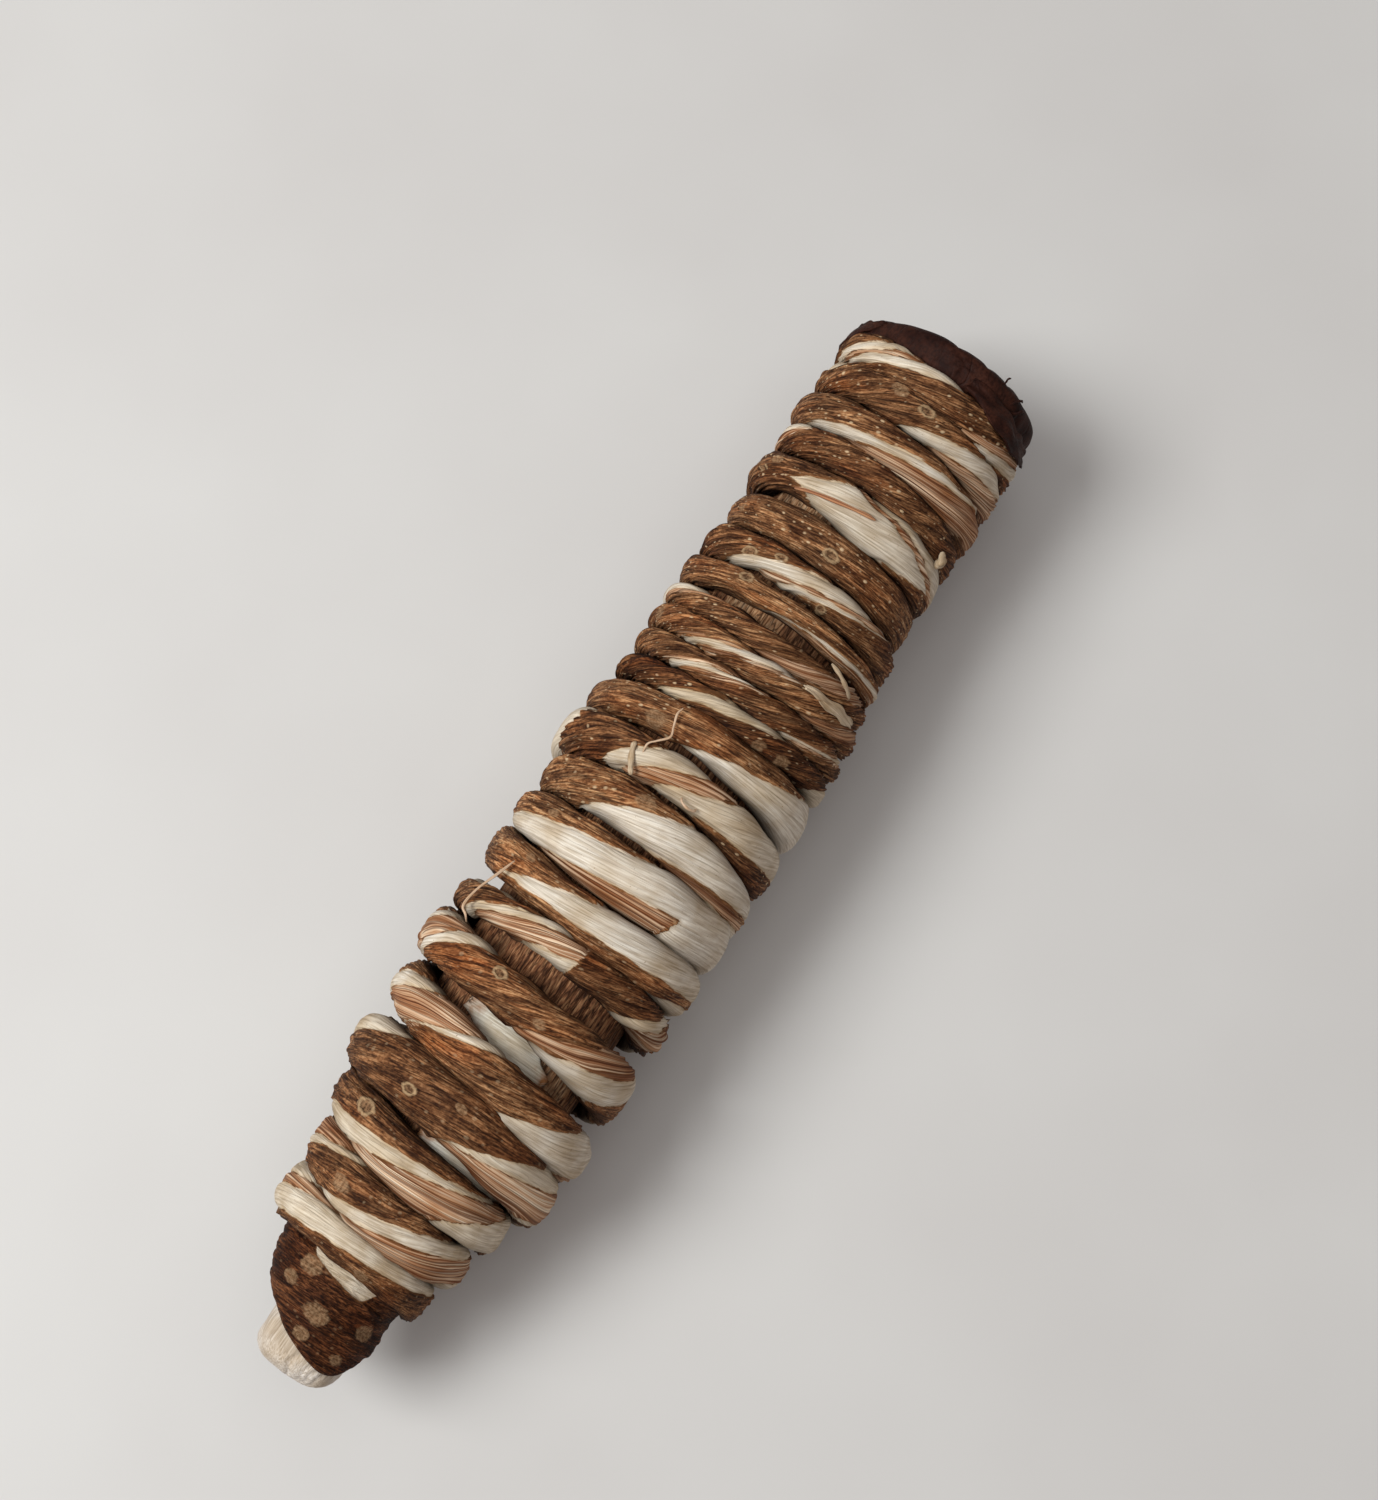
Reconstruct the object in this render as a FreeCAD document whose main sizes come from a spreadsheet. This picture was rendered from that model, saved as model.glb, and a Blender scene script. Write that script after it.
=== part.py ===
import FreeCAD, Part
import math
import os
import Sketcher

# Rainstick: a hollow tapering stalk pierced by a spiral of cane pins, with loose seeds inside, closed by a
# plug at each end, sheathed in ridged bark and wound with ten lengths of twisted strip.
# Stick coordinates: X runs along the axis from the tip of the narrow end (0) to the wide end, Y and Z cross it.
# Angles round the stick start at +Y and grow towards +Z.
# The winding has a coordinate of its own, called turn: it grows by one with each turn towards the wide end,
# and a whole number lies at the +Y side. The winding is left-handed, so its angle falls as turn grows.

# ---------------------------------------------------------------- driving sizes, in millimetres
SIZES = {
    # length of the stick, and places along it from the narrow tip
    "stick_length": 300.0,
    "neck_at": 13.0,
    "collar_at": 32.0,
    "shoulder_at": 65.0,
    "barrel_at": 90.0,
    "waist_to_tip": 90.0,       # the waist is measured back from the wide end
    # outer radius of the stalk at those places
    "neck_radius": 8.6,
    "collar_radius": 12.2,
    "shoulder_radius": 17.6,
    "barrel_radius": 19.6,
    "waist_radius": 19.4,
    "wide_end_radius": 17.6,
    # seed chamber in the stalk
    "neck_bore_radius": 5.7,
    "chamber_radius": 13.8,
    "chamber_cone_at": 40.0,
    "chamber_at": 72.0,
    # bark sleeve
    "bark_thickness": 3.0,
    "bark_gap": 0.1,
    # plug in the narrow end
    "nose_radius": 11.2,
    "nose_round": 4.5,
    "spigot_length": 24.0,
    "plug_gap": 0.1,
    # disc in the wide end
    "disc_thickness": 15.0,
    "disc_head": 3.0,
    "disc_bevel": 1.5,
    # leather cap over the wide end
    "skin_thickness": 1.1,
    "cap_gap": 0.2,
    "cap_dome": 1.4,
    "cap_flat_radius": 17.0,
    "cap_skirt_length": 22.0,
    "cap_roll_radius": 26.0,
    "cap_roll_length": 5.0,
    "cap_roll_bevel": 1.6,
    # cane pins
    "pin_side": 1.4,
    "pin_fit": 0.1,
    "pin_tip_radius": 2.5,
    "pin_root_radius": 17.0,
    "pin_end_room": 7.0,
    # seeds
    "seed_length": 3.6,
    "seed_radius": 1.7,
    "seed_gap": 0.25,
    "seed_clearance": 0.35,
    # flat band round the neck
    "band_at": 22.4,            # its middle at the +Y side
    "band_pitch": 13.4,
    "band_width": 15.4,
    "band_thickness": 3.0,
    # winding
    "wind_start_at": 28.1,
    "wind_end_to_tip": 7.5,
    "seat_gap": 0.2,
    "strip_gap": 0.3,
    "ply_depth": 0.45,
    "lump_depth": 0.3,
}

# One row for each length of strip: facets along it, how far one turn advances, width, thickness, and lean,
# which is how far the +Y side of a turn lies ahead of its -Y side beyond what a plain helix gives.
STRIP_FIELDS = ("steps", "pitch", "width", "thickness", "lean")
STRIPS = (
    (32, 12.4, 12.2, 7.6, 1.1),
    (32, 12.6, 12.8, 9.2, 5.4),
    (32, 16.7, 13.0, 10.7, 4.1),
    (27, 12.6, 10.2, 8.8, -2.5),
    (30, 10.7, 13.0, 9.0, 1.7),
    (30, 14.3, 12.0, 10.3, -1.8),
    (73, 7.3, 6.9, 7.6, -1.7),
    (53, 9.1, 8.7, 6.8, 0.5),
    (27, 10.9, 10.8, 6.9, 2.0),
    (50, 10.0, 9.6, 7.5, 2.5),
)

# ---------------------------------------------------------------- counts and angles
STEPS_PER_TURN = 16
FIRST_TURN = 0.25 + 0.5 / STEPS_PER_TURN      # the winding starts one facet edge past the underside
BAND_STEPS = 14
TUCK_STEPS = 3                                # facets over which a strip's end thins down
PLIES_PER_TURN = 3.0
BARK_RIDGES = 20
CAP_SIDES = 32
RIDGE_SHARE = 0.03                            # depth of a groove between ridges, as a share of the radius
PIN_GROUPS = 4
PINS_IN_GROUP = 12
LANE_ANGLE = 30.0                             # the pins stand in rows this far apart, with open lanes between
PIN_TURN_ANGLE = 150.0                        # from one pin of the spiral to the next
SEED_SIDES = 6
SEEDS_IN_LANE = 18
UNDERSIDE = -90.0

# Seed lanes: places round the stick in lanes from the underside, and distance of the first seed from the
# chamber's narrow end at rest.
SEED_LANES = {
    "seeds_bottom_lane": (0, 62.0),
    "seeds_left_lane": (-1, 90.0),
    "seeds_right_lane": (1, 38.0),
}

# Sections of the winding, from the narrow side of a strip to its wide side: share of half the width, and
# share of the thickness.
STRIP_OUTLINE = (
    (-1.0, 0.0),
    (-1.0, 0.46),
    (-0.76, 0.84),
    (-0.25, 1.0),
    (0.35, 0.97),
    (0.82, 0.74),
    (1.0, 0.36),
    (1.0, 0.0),
)
BAND_OUTLINE = (
    (-1.0, 0.0),
    (-0.97, 0.6),
    (-0.85, 1.0),
    (0.85, 1.0),
    (0.97, 0.6),
    (1.0, 0.0),
)


# ---------------------------------------------------------------- the sheet and what follows from it
def make_sheet(doc):
    """Put every driving size in the spreadsheet, one row each."""
    sheet = doc.addObject("Spreadsheet::Sheet", "Sizes")
    rows = dict(SIZES)
    for number, values in enumerate(STRIPS, 1):
        for field, value in zip(STRIP_FIELDS, values):
            rows[f"strip_{number}_{field}"] = value
    for row, (alias, value) in enumerate(rows.items(), 1):
        sheet.set(f"A{row}", alias)
        sheet.set(f"B{row}", str(value))
        sheet.setAlias(f"B{row}", alias)
    doc.recompute()


def size(doc, words):
    """The value of an expression on the sheet."""
    return float(doc.Sizes.evalExpression(words.replace("Sizes.", "")))


# Places that follow from the driving sizes.
WIDE_END = (
    "Sizes.stick_length - Sizes.cap_dome - Sizes.skin_thickness - Sizes.cap_gap"
    " - Sizes.disc_head - Sizes.plug_gap"
)
WAIST = "Sizes.stick_length - Sizes.waist_to_tip"
DISC_FACE = WIDE_END + " - Sizes.disc_thickness"
SKIRT_START = WIDE_END + " - Sizes.cap_skirt_length"
ROLL_END = "Sizes.stick_length - Sizes.cap_dome"
ROLL_START = ROLL_END + " - Sizes.cap_roll_length"
BARK_OUT = " + Sizes.bark_gap + Sizes.bark_thickness"
PIN_HOLE_SIDE = "Sizes.pin_side + 2 * Sizes.pin_fit"
PIN_LENGTH = "Sizes.pin_root_radius - Sizes.pin_tip_radius"

# The stalk's outside, as (place along the stick, radius).
STALK_STATIONS = (
    ("Sizes.neck_at", "Sizes.neck_radius"),
    ("Sizes.collar_at", "Sizes.collar_radius"),
    ("Sizes.shoulder_at", "Sizes.shoulder_radius"),
    ("Sizes.barrel_at", "Sizes.barrel_radius"),
    (WAIST, "Sizes.waist_radius"),
    (WIDE_END, "Sizes.wide_end_radius"),
)


def between(points, x):
    """Straight-line value at x on a list of (x, value), level beyond its ends."""
    if x <= points[0][0]:
        return points[0][1]
    for (x0, y0), (x1, y1) in zip(points, points[1:]):
        if x <= x1:
            return y0 + (y1 - y0) * (x - x0) / (x1 - x0)
    return points[-1][1]


def across(angle, radius):
    """The point at an angle in degrees round the stick, at x = 0."""
    return FreeCAD.Vector(0, radius * math.cos(math.radians(angle)), radius * math.sin(math.radians(angle)))


# ---------------------------------------------------------------- turned parts
def turned_body(doc, name, outline):
    """A body turned about X from a closed outline of (x, radius) expressions."""
    body = doc.addObject("PartDesign::Body", name)
    sketch = body.newObject("Sketcher::SketchObject", name + "_profile")
    plane = [item for item in body.Origin.OriginFeatures if item.Role == "XY_Plane"][0]
    sketch.AttachmentSupport = (plane, [""])
    sketch.MapMode = "FlatFace"
    corners = [FreeCAD.Vector(size(doc, x), size(doc, radius), 0) for x, radius in outline]
    count = len(corners)
    for index in range(count):
        sketch.addGeometry(Part.LineSegment(corners[index], corners[(index + 1) % count]), False)
    for index in range(count):
        sketch.addConstraint(Sketcher.Constraint("Coincident", index, 2, (index + 1) % count, 1))
    for index, (x, radius) in enumerate(outline):
        place = sketch.addConstraint(Sketcher.Constraint("DistanceX", -1, 1, index, 1, corners[index].x))
        sketch.setExpression(f"Constraints[{place}]", x)
        place = sketch.addConstraint(Sketcher.Constraint("DistanceY", -1, 1, index, 1, corners[index].y))
        sketch.setExpression(f"Constraints[{place}]", radius)
    turning = body.newObject("PartDesign::Revolution", name + "_turning")
    turning.Profile = sketch
    turning.ReferenceAxis = (sketch, ["H_Axis"])
    turning.Angle = 360.0
    body.Tip = turning
    doc.recompute()
    return body


def bevel_edges(doc, body, places, amount):
    """Chamfer the round edges of a body that lie at the given (x, radius) places."""
    chosen = []
    for number, edge in enumerate(body.Tip.Shape.Edges, 1):
        curve = edge.Curve
        if not isinstance(curve, Part.Circle):
            continue
        for x, radius in places:
            off = max(abs(curve.Center.x - size(doc, x)), abs(curve.Radius - size(doc, radius)))
            if off < 0.01:
                chosen.append(f"Edge{number}")
    base = body.Tip
    bevel = body.newObject("PartDesign::Chamfer", body.Name + "_bevel")
    bevel.Base = (base, chosen)
    bevel.setExpression("Size", amount)
    body.Tip = bevel
    doc.recompute()


def make_core_tube(doc):
    """The stalk: a long taper bored out to the seed chamber, with a square hole for each pin."""
    outline = list(STALK_STATIONS)
    outline.append((WIDE_END, "Sizes.chamber_radius"))
    outline.append(("Sizes.chamber_at", "Sizes.chamber_radius"))
    outline.append(("Sizes.chamber_cone_at", "Sizes.neck_bore_radius"))
    outline.append(("Sizes.neck_at", "Sizes.neck_bore_radius"))
    stalk = turned_body(doc, "stalk", outline)
    drilling = doc.addObject("Part::Compound", "pin_holes")
    drilling.Links = pin_bars(doc, "hole", 0, PIN_GROUPS * PINS_IN_GROUP, PIN_HOLE_SIDE, "2 * Sizes.barrel_radius")
    core = doc.addObject("Part::Cut", "core_tube")
    core.Base = stalk
    core.Tool = drilling
    return core


# ---------------------------------------------------------------- pins
def pin_bars(doc, name, first, last, side, height):
    """Square bars that point out from the axis, at their places in the spiral through the seed chamber."""
    start = size(doc, "Sizes.chamber_at + Sizes.pin_end_room")
    end = size(doc, DISC_FACE + " - Sizes.pin_end_room")
    spacing = (end - start) / (PIN_GROUPS * PINS_IN_GROUP - 1)
    half = size(doc, side) / 2
    bars = []
    for index in range(first, last):
        bar = doc.addObject("Part::Box", f"{name}_{index + 1}")
        bar.setExpression("Length", side)
        bar.setExpression("Width", side)
        bar.setExpression("Height", height)
        angle = UNDERSIDE + LANE_ANGLE / 2 + PIN_TURN_ANGLE * index
        turning = FreeCAD.Rotation(FreeCAD.Vector(1, 0, 0), angle - 90)
        corner = turning.multVec(FreeCAD.Vector(0, -half, size(doc, "Sizes.pin_tip_radius")))
        bar.Placement = FreeCAD.Placement(corner + FreeCAD.Vector(start + spacing * index - half, 0, 0), turning)
        bars.append(bar)
    return bars


def make_pins(doc, group):
    """One quarter of the spiral: split-cane slivers driven through the wall, short of the stalk's outside."""
    pins = doc.addObject("Part::Compound", f"pin_spiral_{group + 1}")
    first = group * PINS_IN_GROUP
    pins.Links = pin_bars(doc, "pin", first, first + PINS_IN_GROUP, "Sizes.pin_side", PIN_LENGTH)
    return pins


# ---------------------------------------------------------------- seeds
def make_seed_lane(doc, name):
    """A train of six-sided seeds on the chamber's floor, in an open lane between two rows of pins."""
    lane, shift = SEED_LANES[name]
    angle = UNDERSIDE + LANE_ANGLE * lane
    radius = size(doc, "Sizes.seed_radius")
    length = size(doc, "Sizes.seed_length")
    pitch = length + size(doc, "Sizes.seed_gap")
    middle = across(angle, size(doc, "Sizes.chamber_radius - Sizes.seed_clearance - Sizes.seed_radius"))
    start = size(doc, "Sizes.chamber_at") + shift
    seeds = []
    for index in range(SEEDS_IN_LANE):
        rings = []
        for along, share in ((0.0, 0.45), (0.5, 1.0), (1.0, 0.45)):
            centre = middle + FreeCAD.Vector(start + pitch * index + length * along, 0, 0)
            turned = angle + 17.0 * index
            spokes = [turned + 360.0 * side / SEED_SIDES for side in range(SEED_SIDES)]
            rings.append([centre + across(spoke, radius * share) for spoke in spokes])
        seeds.append(skinned_solid(rings))
    lane = doc.addObject("Part::Feature", name)
    lane.Shape = Part.makeCompound(seeds)
    return lane


def seed_range(doc, name):
    """How far a seed train can slide each way before it meets an end of the chamber."""
    shift = SEED_LANES[name][1]
    length = SEEDS_IN_LANE * size(doc, "Sizes.seed_length + Sizes.seed_gap") - size(doc, "Sizes.seed_gap")
    room = size(doc, DISC_FACE) - size(doc, "Sizes.chamber_at") - 2 * size(doc, "Sizes.seed_clearance")
    back = shift - size(doc, "Sizes.seed_clearance")
    return -back, room - length - back


# ---------------------------------------------------------------- bark, plugs and cap
def make_under_wrap(doc):
    """The bark sleeve: ridged sections skinned along the stick, hollowed by flat-sided ones round the stalk."""
    ridged = []
    flat_sided = []
    for place, radius in STALK_STATIONS:
        centre = FreeCAD.Vector(size(doc, place), 0, 0)
        crest = size(doc, radius + BARK_OUT)
        hollow = size(doc, radius + " + Sizes.bark_gap") / math.cos(math.pi / BARK_RIDGES)
        corners = range(2 * BARK_RIDGES)
        reaches = [crest * (1 - RIDGE_SHARE * (corner % 2)) for corner in corners]
        ridged.append([centre + across(180.0 * c / BARK_RIDGES, reaches[c]) for c in corners])
        flat_sided.append([centre + across(180.0 * c / BARK_RIDGES, hollow) for c in corners[::2]])
    outside = doc.addObject("Part::Feature", "bark_outside")
    outside.Shape = skinned_solid(ridged)
    inside = doc.addObject("Part::Feature", "bark_inside")
    inside.Shape = skinned_solid(flat_sided)
    sleeve = doc.addObject("Part::Cut", "under_wrap")
    sleeve.Base = outside
    sleeve.Tool = inside
    return sleeve


def make_narrow_end_plug(doc):
    """The pale plug: a rounded nose that butts on the stalk, and a spigot in its neck."""
    shoulder = "Sizes.neck_at - Sizes.plug_gap"
    spigot = "Sizes.neck_bore_radius - Sizes.plug_gap"
    tip = "Sizes.neck_at + Sizes.spigot_length"
    outline = (
        ("0 * Sizes.neck_at", "0 * Sizes.neck_at"),
        ("0 * Sizes.neck_at", "Sizes.nose_radius - Sizes.nose_round"),
        ("0.3 * Sizes.nose_round", "Sizes.nose_radius - 0.3 * Sizes.nose_round"),
        ("Sizes.nose_round", "Sizes.nose_radius"),
        (shoulder, "Sizes.nose_radius"),
        (shoulder, spigot),
        (tip, spigot),
        (tip, "0 * Sizes.neck_at"),
    )
    return turned_body(doc, "narrow_end_plug", outline)


def make_wide_end_plug(doc):
    """The turned disc that shuts the seed chamber, with a head that rests on the stalk's end."""
    outline = (
        (DISC_FACE, "0 * Sizes.plug_gap"),
        (DISC_FACE, "Sizes.chamber_radius - Sizes.plug_gap"),
        (WIDE_END + " + Sizes.plug_gap", "Sizes.chamber_radius - Sizes.plug_gap"),
        (WIDE_END + " + Sizes.plug_gap", "Sizes.wide_end_radius"),
        (WIDE_END + " + Sizes.plug_gap + Sizes.disc_head", "Sizes.wide_end_radius"),
        (WIDE_END + " + Sizes.plug_gap + Sizes.disc_head", "0 * Sizes.plug_gap"),
    )
    disc = turned_body(doc, "wide_end_plug", outline)
    bevel_edges(doc, disc, [(DISC_FACE, "Sizes.chamber_radius - Sizes.plug_gap")], "Sizes.disc_bevel")
    return disc


def gathered_rings(doc, stations, share, sides):
    """Rings along the stick at (place, radius) expressions, with every second corner drawn in by a share."""
    rings = []
    for place, radius in stations:
        centre = FreeCAD.Vector(size(doc, place), 0, 0)
        reaches = [size(doc, radius) * (1 - share * (corner % 2)) for corner in range(sides)]
        rings.append([centre + across(360.0 * c / sides, reaches[c]) for c in range(sides)])
    return rings


def make_end_cap(doc):
    """The leather cap: a skirt over the bark's end, a thick gathered roll and a face that is flat in its middle."""
    mouth = size(doc, SKIRT_START)
    waist = size(doc, WAIST)
    share = (mouth - waist) / (size(doc, WIDE_END) - waist)
    mouth_radius = f"Sizes.waist_radius + {share!r} * (Sizes.wide_end_radius - Sizes.waist_radius)"
    inside = BARK_OUT + " + Sizes.cap_gap"
    outside = inside + " + Sizes.skin_thickness"
    end_face = WIDE_END + " + Sizes.plug_gap + Sizes.disc_head + Sizes.cap_gap"
    skirt = (
        (SKIRT_START, mouth_radius + outside),
        (ROLL_START, "Sizes.wide_end_radius" + outside),
    )
    roll = (
        (ROLL_START, "Sizes.cap_roll_radius - Sizes.cap_roll_bevel"),
        (ROLL_START + " + Sizes.cap_roll_bevel", "Sizes.cap_roll_radius"),
        (ROLL_END + " - Sizes.cap_roll_bevel", "Sizes.cap_roll_radius"),
        (ROLL_END, "Sizes.cap_roll_radius - Sizes.cap_roll_bevel"),
    )
    face = (
        ("Sizes.stick_length", "Sizes.cap_flat_radius"),
    )
    hollow = (
        (SKIRT_START + " - Sizes.cap_gap", mouth_radius + inside),
        (WIDE_END, "Sizes.wide_end_radius" + inside),
        (end_face, "Sizes.wide_end_radius" + inside),
    )
    rings = gathered_rings(doc, skirt, 0.0, CAP_SIDES)
    rings += gathered_rings(doc, roll, RIDGE_SHARE / 2, CAP_SIDES)
    rings += gathered_rings(doc, face, 0.0, CAP_SIDES)
    leather = doc.addObject("Part::Feature", "cap_outside")
    leather.Shape = skinned_solid(rings)
    room = doc.addObject("Part::Feature", "cap_inside")
    room.Shape = skinned_solid(gathered_rings(doc, hollow, 0.0, CAP_SIDES))
    cap = doc.addObject("Part::Cut", "end_cap")
    cap.Base = leather
    cap.Tool = room
    return cap


# ---------------------------------------------------------------- winding
class Winding:
    """Where the strips run: the middle of the strip along the stick, and its thickness, at each turn."""

    def __init__(self, doc):
        self.rows = []
        for number in range(1, len(STRIPS) + 1):
            self.rows.append({field: size(doc, f"Sizes.strip_{number}_{field}") for field in STRIP_FIELDS})
        self.ends = [FIRST_TURN]
        for row in self.rows:
            self.ends.append(self.ends[-1] + row["steps"] / STEPS_PER_TURN)
        start = size(doc, "Sizes.wind_start_at")
        length = size(doc, "Sizes.stick_length - Sizes.wind_end_to_tip") - start
        wound = sum(row["pitch"] * row["steps"] / STEPS_PER_TURN for row in self.rows)
        places = [start]
        for row in self.rows:
            advance = row["pitch"] * row["steps"] / STEPS_PER_TURN * length / wound
            places.append(places[-1] + advance)
        self.course = list(zip(self.ends, places))
        middles = [(self.ends[number] + self.ends[number + 1]) / 2 for number in range(len(self.rows))]
        self.leans = [(middle, row["lean"]) for middle, row in zip(middles, self.rows)]
        self.thicknesses = [(middle, row["thickness"]) for middle, row in zip(middles, self.rows)]

    def place(self, turn):
        """The strip's middle along the stick. Beyond its ends the winding runs on at the same pitch."""
        course = self.course
        if turn < course[0][0]:
            course = course[:2]
        if turn > course[-1][0]:
            course = course[-2:]
        for (turn_0, x_0), (turn_1, x_1) in zip(course, course[1:]):
            if turn <= turn_1 or turn_1 == course[-1][0]:
                x = x_0 + (x_1 - x_0) * (turn - turn_0) / (turn_1 - turn_0)
                break
        return x + between(self.leans, turn) / 2 * math.cos(2 * math.pi * turn)

    def thickness(self, turn):
        return between(self.thicknesses, turn)


def seat_profile(doc):
    """Radius of what the winding lies on, as (place, radius): the nose, the bark, then the cap's skirt."""
    bark = [(size(doc, place), size(doc, radius + BARK_OUT)) for place, radius in STALK_STATIONS]
    mouth = size(doc, SKIRT_START)
    skirt = size(doc, "Sizes.cap_gap + Sizes.skin_thickness")
    edge = size(doc, "Sizes.cap_gap")
    nose = size(doc, "Sizes.nose_radius")
    profile = [(0.0, nose), (bark[0][0], max(nose, bark[0][1]))]
    profile += [point for point in bark[1:] if point[0] < mouth]
    profile.append((mouth - edge, between(bark, mouth)))
    profile.append((mouth, between(bark, mouth) + skirt))
    profile.append((bark[-1][0], bark[-1][1] + skirt))
    return profile


def seat_radius(profile, left, right):
    """Radii at the two sides of a strip that keep its flat inner face clear of the profile between them."""
    inner, outer = between(profile, left), between(profile, right)
    lift = 0.0
    for x, radius in profile:
        if left < x < right:
            lift = max(lift, radius - inner - (outer - inner) * (x - left) / (right - left))
    return inner + lift, outer + lift


def ring_on_stick(turn, left, right, seats, thickness, outline, ply, ply_depth):
    """One section of a strip: its outline set across the stick at the angle of that turn."""
    angle = -360.0 * turn
    points = []
    for share, height in outline:
        x = (left + right) / 2 + share * (right - left) / 2
        seat = seats[0] + (seats[1] - seats[0]) * (share + 1) / 2
        twist = ply_depth * math.cos(ply + 2.4 * share) if height > 0.5 else 0.0
        points.append(FreeCAD.Vector(x, 0, 0) + across(angle, seat + thickness * height + twist))
    return points


def skinned_solid(rings):
    """A closed solid of flat triangles through a row of like rings."""
    count = len(rings[0])
    points = [point for ring in rings for point in ring]
    triangles = []
    for row in range(len(rings) - 1):
        for column in range(count):
            a = row * count + column
            b = row * count + (column + 1) % count
            c, d = a + count, b + count
            if points[a].distanceToPoint(points[d]) < points[b].distanceToPoint(points[c]):
                triangles += [(a, b, d), (a, d, c)]
            else:
                triangles += [(a, b, c), (b, d, c)]
    last = len(points) - count
    for column in range(1, count - 1):
        triangles.append((0, column + 1, column))
        triangles.append((last, last + column, last + column + 1))
    skin = Part.Shape()
    skin.makeShapeFromMesh((points, triangles), 0.001)
    solid = Part.Solid(Part.Shell(skin.Faces))
    if solid.Volume < 0:
        solid.reverse()
    return solid


def make_strip(doc, winding, number):
    """One length of strip. Its width is cut to its turn where they are tight, and it thins where it tucks in."""
    profile = seat_profile(doc)
    gap = size(doc, "Sizes.strip_gap")
    rise = size(doc, "Sizes.seat_gap")
    corner = 1 / math.cos(math.pi / STEPS_PER_TURN)
    depth = size(doc, "Sizes.ply_depth")
    lump = size(doc, "Sizes.lump_depth")
    limit = size(doc, ROLL_START) - gap
    steps = int(winding.rows[number]["steps"])
    rings = []
    for step in range(steps + 1):
        turn = winding.ends[number] + step / STEPS_PER_TURN
        here = winding.place(turn)
        left = (winding.place(turn - 1) + here) / 2 + gap / 2
        right = min((here + winding.place(turn + 1)) / 2 - gap / 2, limit)
        tuck = min(1.0, min(step, steps - step) / TUCK_STEPS)
        middle = (left + right) / 2
        half = min(right - left, winding.rows[number]["width"]) / 2 * (0.7 + 0.3 * tuck)
        left, right = middle - half, middle + half
        seats = [radius * corner + rise for radius in seat_radius(profile, left, right)]
        thickness = winding.thickness(turn) + lump * (math.sin(4.1 * turn) + math.sin(9.7 * turn))
        thickness *= 0.45 + 0.55 * tuck
        ply = 2 * math.pi * PLIES_PER_TURN * turn
        rings.append(ring_on_stick(turn, left, right, seats, thickness, STRIP_OUTLINE, ply, depth * tuck))
    first = 0.5 * gap if number > 0 else 0.0
    last = 0.5 * gap if number < len(STRIPS) - 1 else 0.0
    rings[0] = [point + (other - point).normalize() * first for point, other in zip(rings[0], rings[1])]
    rings[-1] = [point + (other - point).normalize() * last for point, other in zip(rings[-1], rings[-2])]
    strip = doc.addObject("Part::Feature", f"wrap_strip_{number + 1:02d}")
    strip.Shape = skinned_solid(rings)
    return strip


def make_end_band(doc):
    """The flat first turn round the neck, which laps the plug on the -Y side."""
    profile = seat_profile(doc)
    corner = 1 / math.cos(math.pi / STEPS_PER_TURN)
    rise = size(doc, "Sizes.seat_gap")
    half = size(doc, "Sizes.band_width") / 2
    rings = []
    for step in range(BAND_STEPS + 1):
        turn = FIRST_TURN - (BAND_STEPS - step) / STEPS_PER_TURN
        middle = size(doc, "Sizes.band_at") + size(doc, "Sizes.band_pitch") * turn
        left, right = middle - half, middle + half
        seats = [radius * corner + rise for radius in seat_radius(profile, left, right)]
        thickness = size(doc, "Sizes.band_thickness")
        rings.append(ring_on_stick(turn, left, right, seats, thickness, BAND_OUTLINE, 0.0, 0.0))
    band = doc.addObject("Part::Feature", "end_band")
    band.Shape = skinned_solid(rings)
    return band


# ---------------------------------------------------------------- the whole stick
def build():
    doc = FreeCAD.newDocument("rainstick")
    make_sheet(doc)
    parts = [make_core_tube(doc)]
    parts += [make_pins(doc, group) for group in range(PIN_GROUPS)]
    parts += [make_seed_lane(doc, name) for name in SEED_LANES]
    parts.append(make_under_wrap(doc))
    parts.append(make_narrow_end_plug(doc))
    parts.append(make_wide_end_plug(doc))
    parts.append(make_end_cap(doc))
    parts.append(make_end_band(doc))
    winding = Winding(doc)
    parts += [make_strip(doc, winding, number) for number in range(len(STRIPS))]
    doc.recompute()
    check(doc, parts)
    lay_on_floor(parts)
    write(parts)
    for name in SEED_LANES:
        back, forward = seed_range(doc, name)
        print(f"{name}: slides {back:.2f} to {forward:.2f} mm")


def lay_on_floor(parts):
    """Put the origin under the middle of the stick, on the plane that it lies on."""
    box = FreeCAD.BoundBox()
    for part in parts:
        box.add(part.Shape.optimalBoundingBox(False, False))
    shift = FreeCAD.Vector(-(box.XMin + box.XMax) / 2, -(box.YMin + box.YMax) / 2, -box.ZMin)
    for part in parts:
        part.Placement = FreeCAD.Placement(shift, FreeCAD.Rotation())
    print(f"axis at y {shift.y:.3f} z {shift.z:.3f}, box {box.XLength:.2f} {box.YLength:.2f} {box.ZLength:.2f}")


def check(doc, parts):
    """Stop on anything that failed to build."""
    for item in doc.Objects:
        if "Invalid" in item.State or "Error" in item.State:
            raise RuntimeError(f"{item.Label} is {item.State}")
    for part in parts:
        if part.Shape.isNull() or not part.Shape.isValid():
            raise RuntimeError(f"{part.Label} has no valid shape")


def write(parts):
    os.makedirs("parts", exist_ok=True)
    for part in parts:
        part.Shape.exportStep(f"parts/{part.Label}.step")


build()
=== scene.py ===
import math

import bpy
import numpy as np
from mathutils import Matrix, Vector


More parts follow.
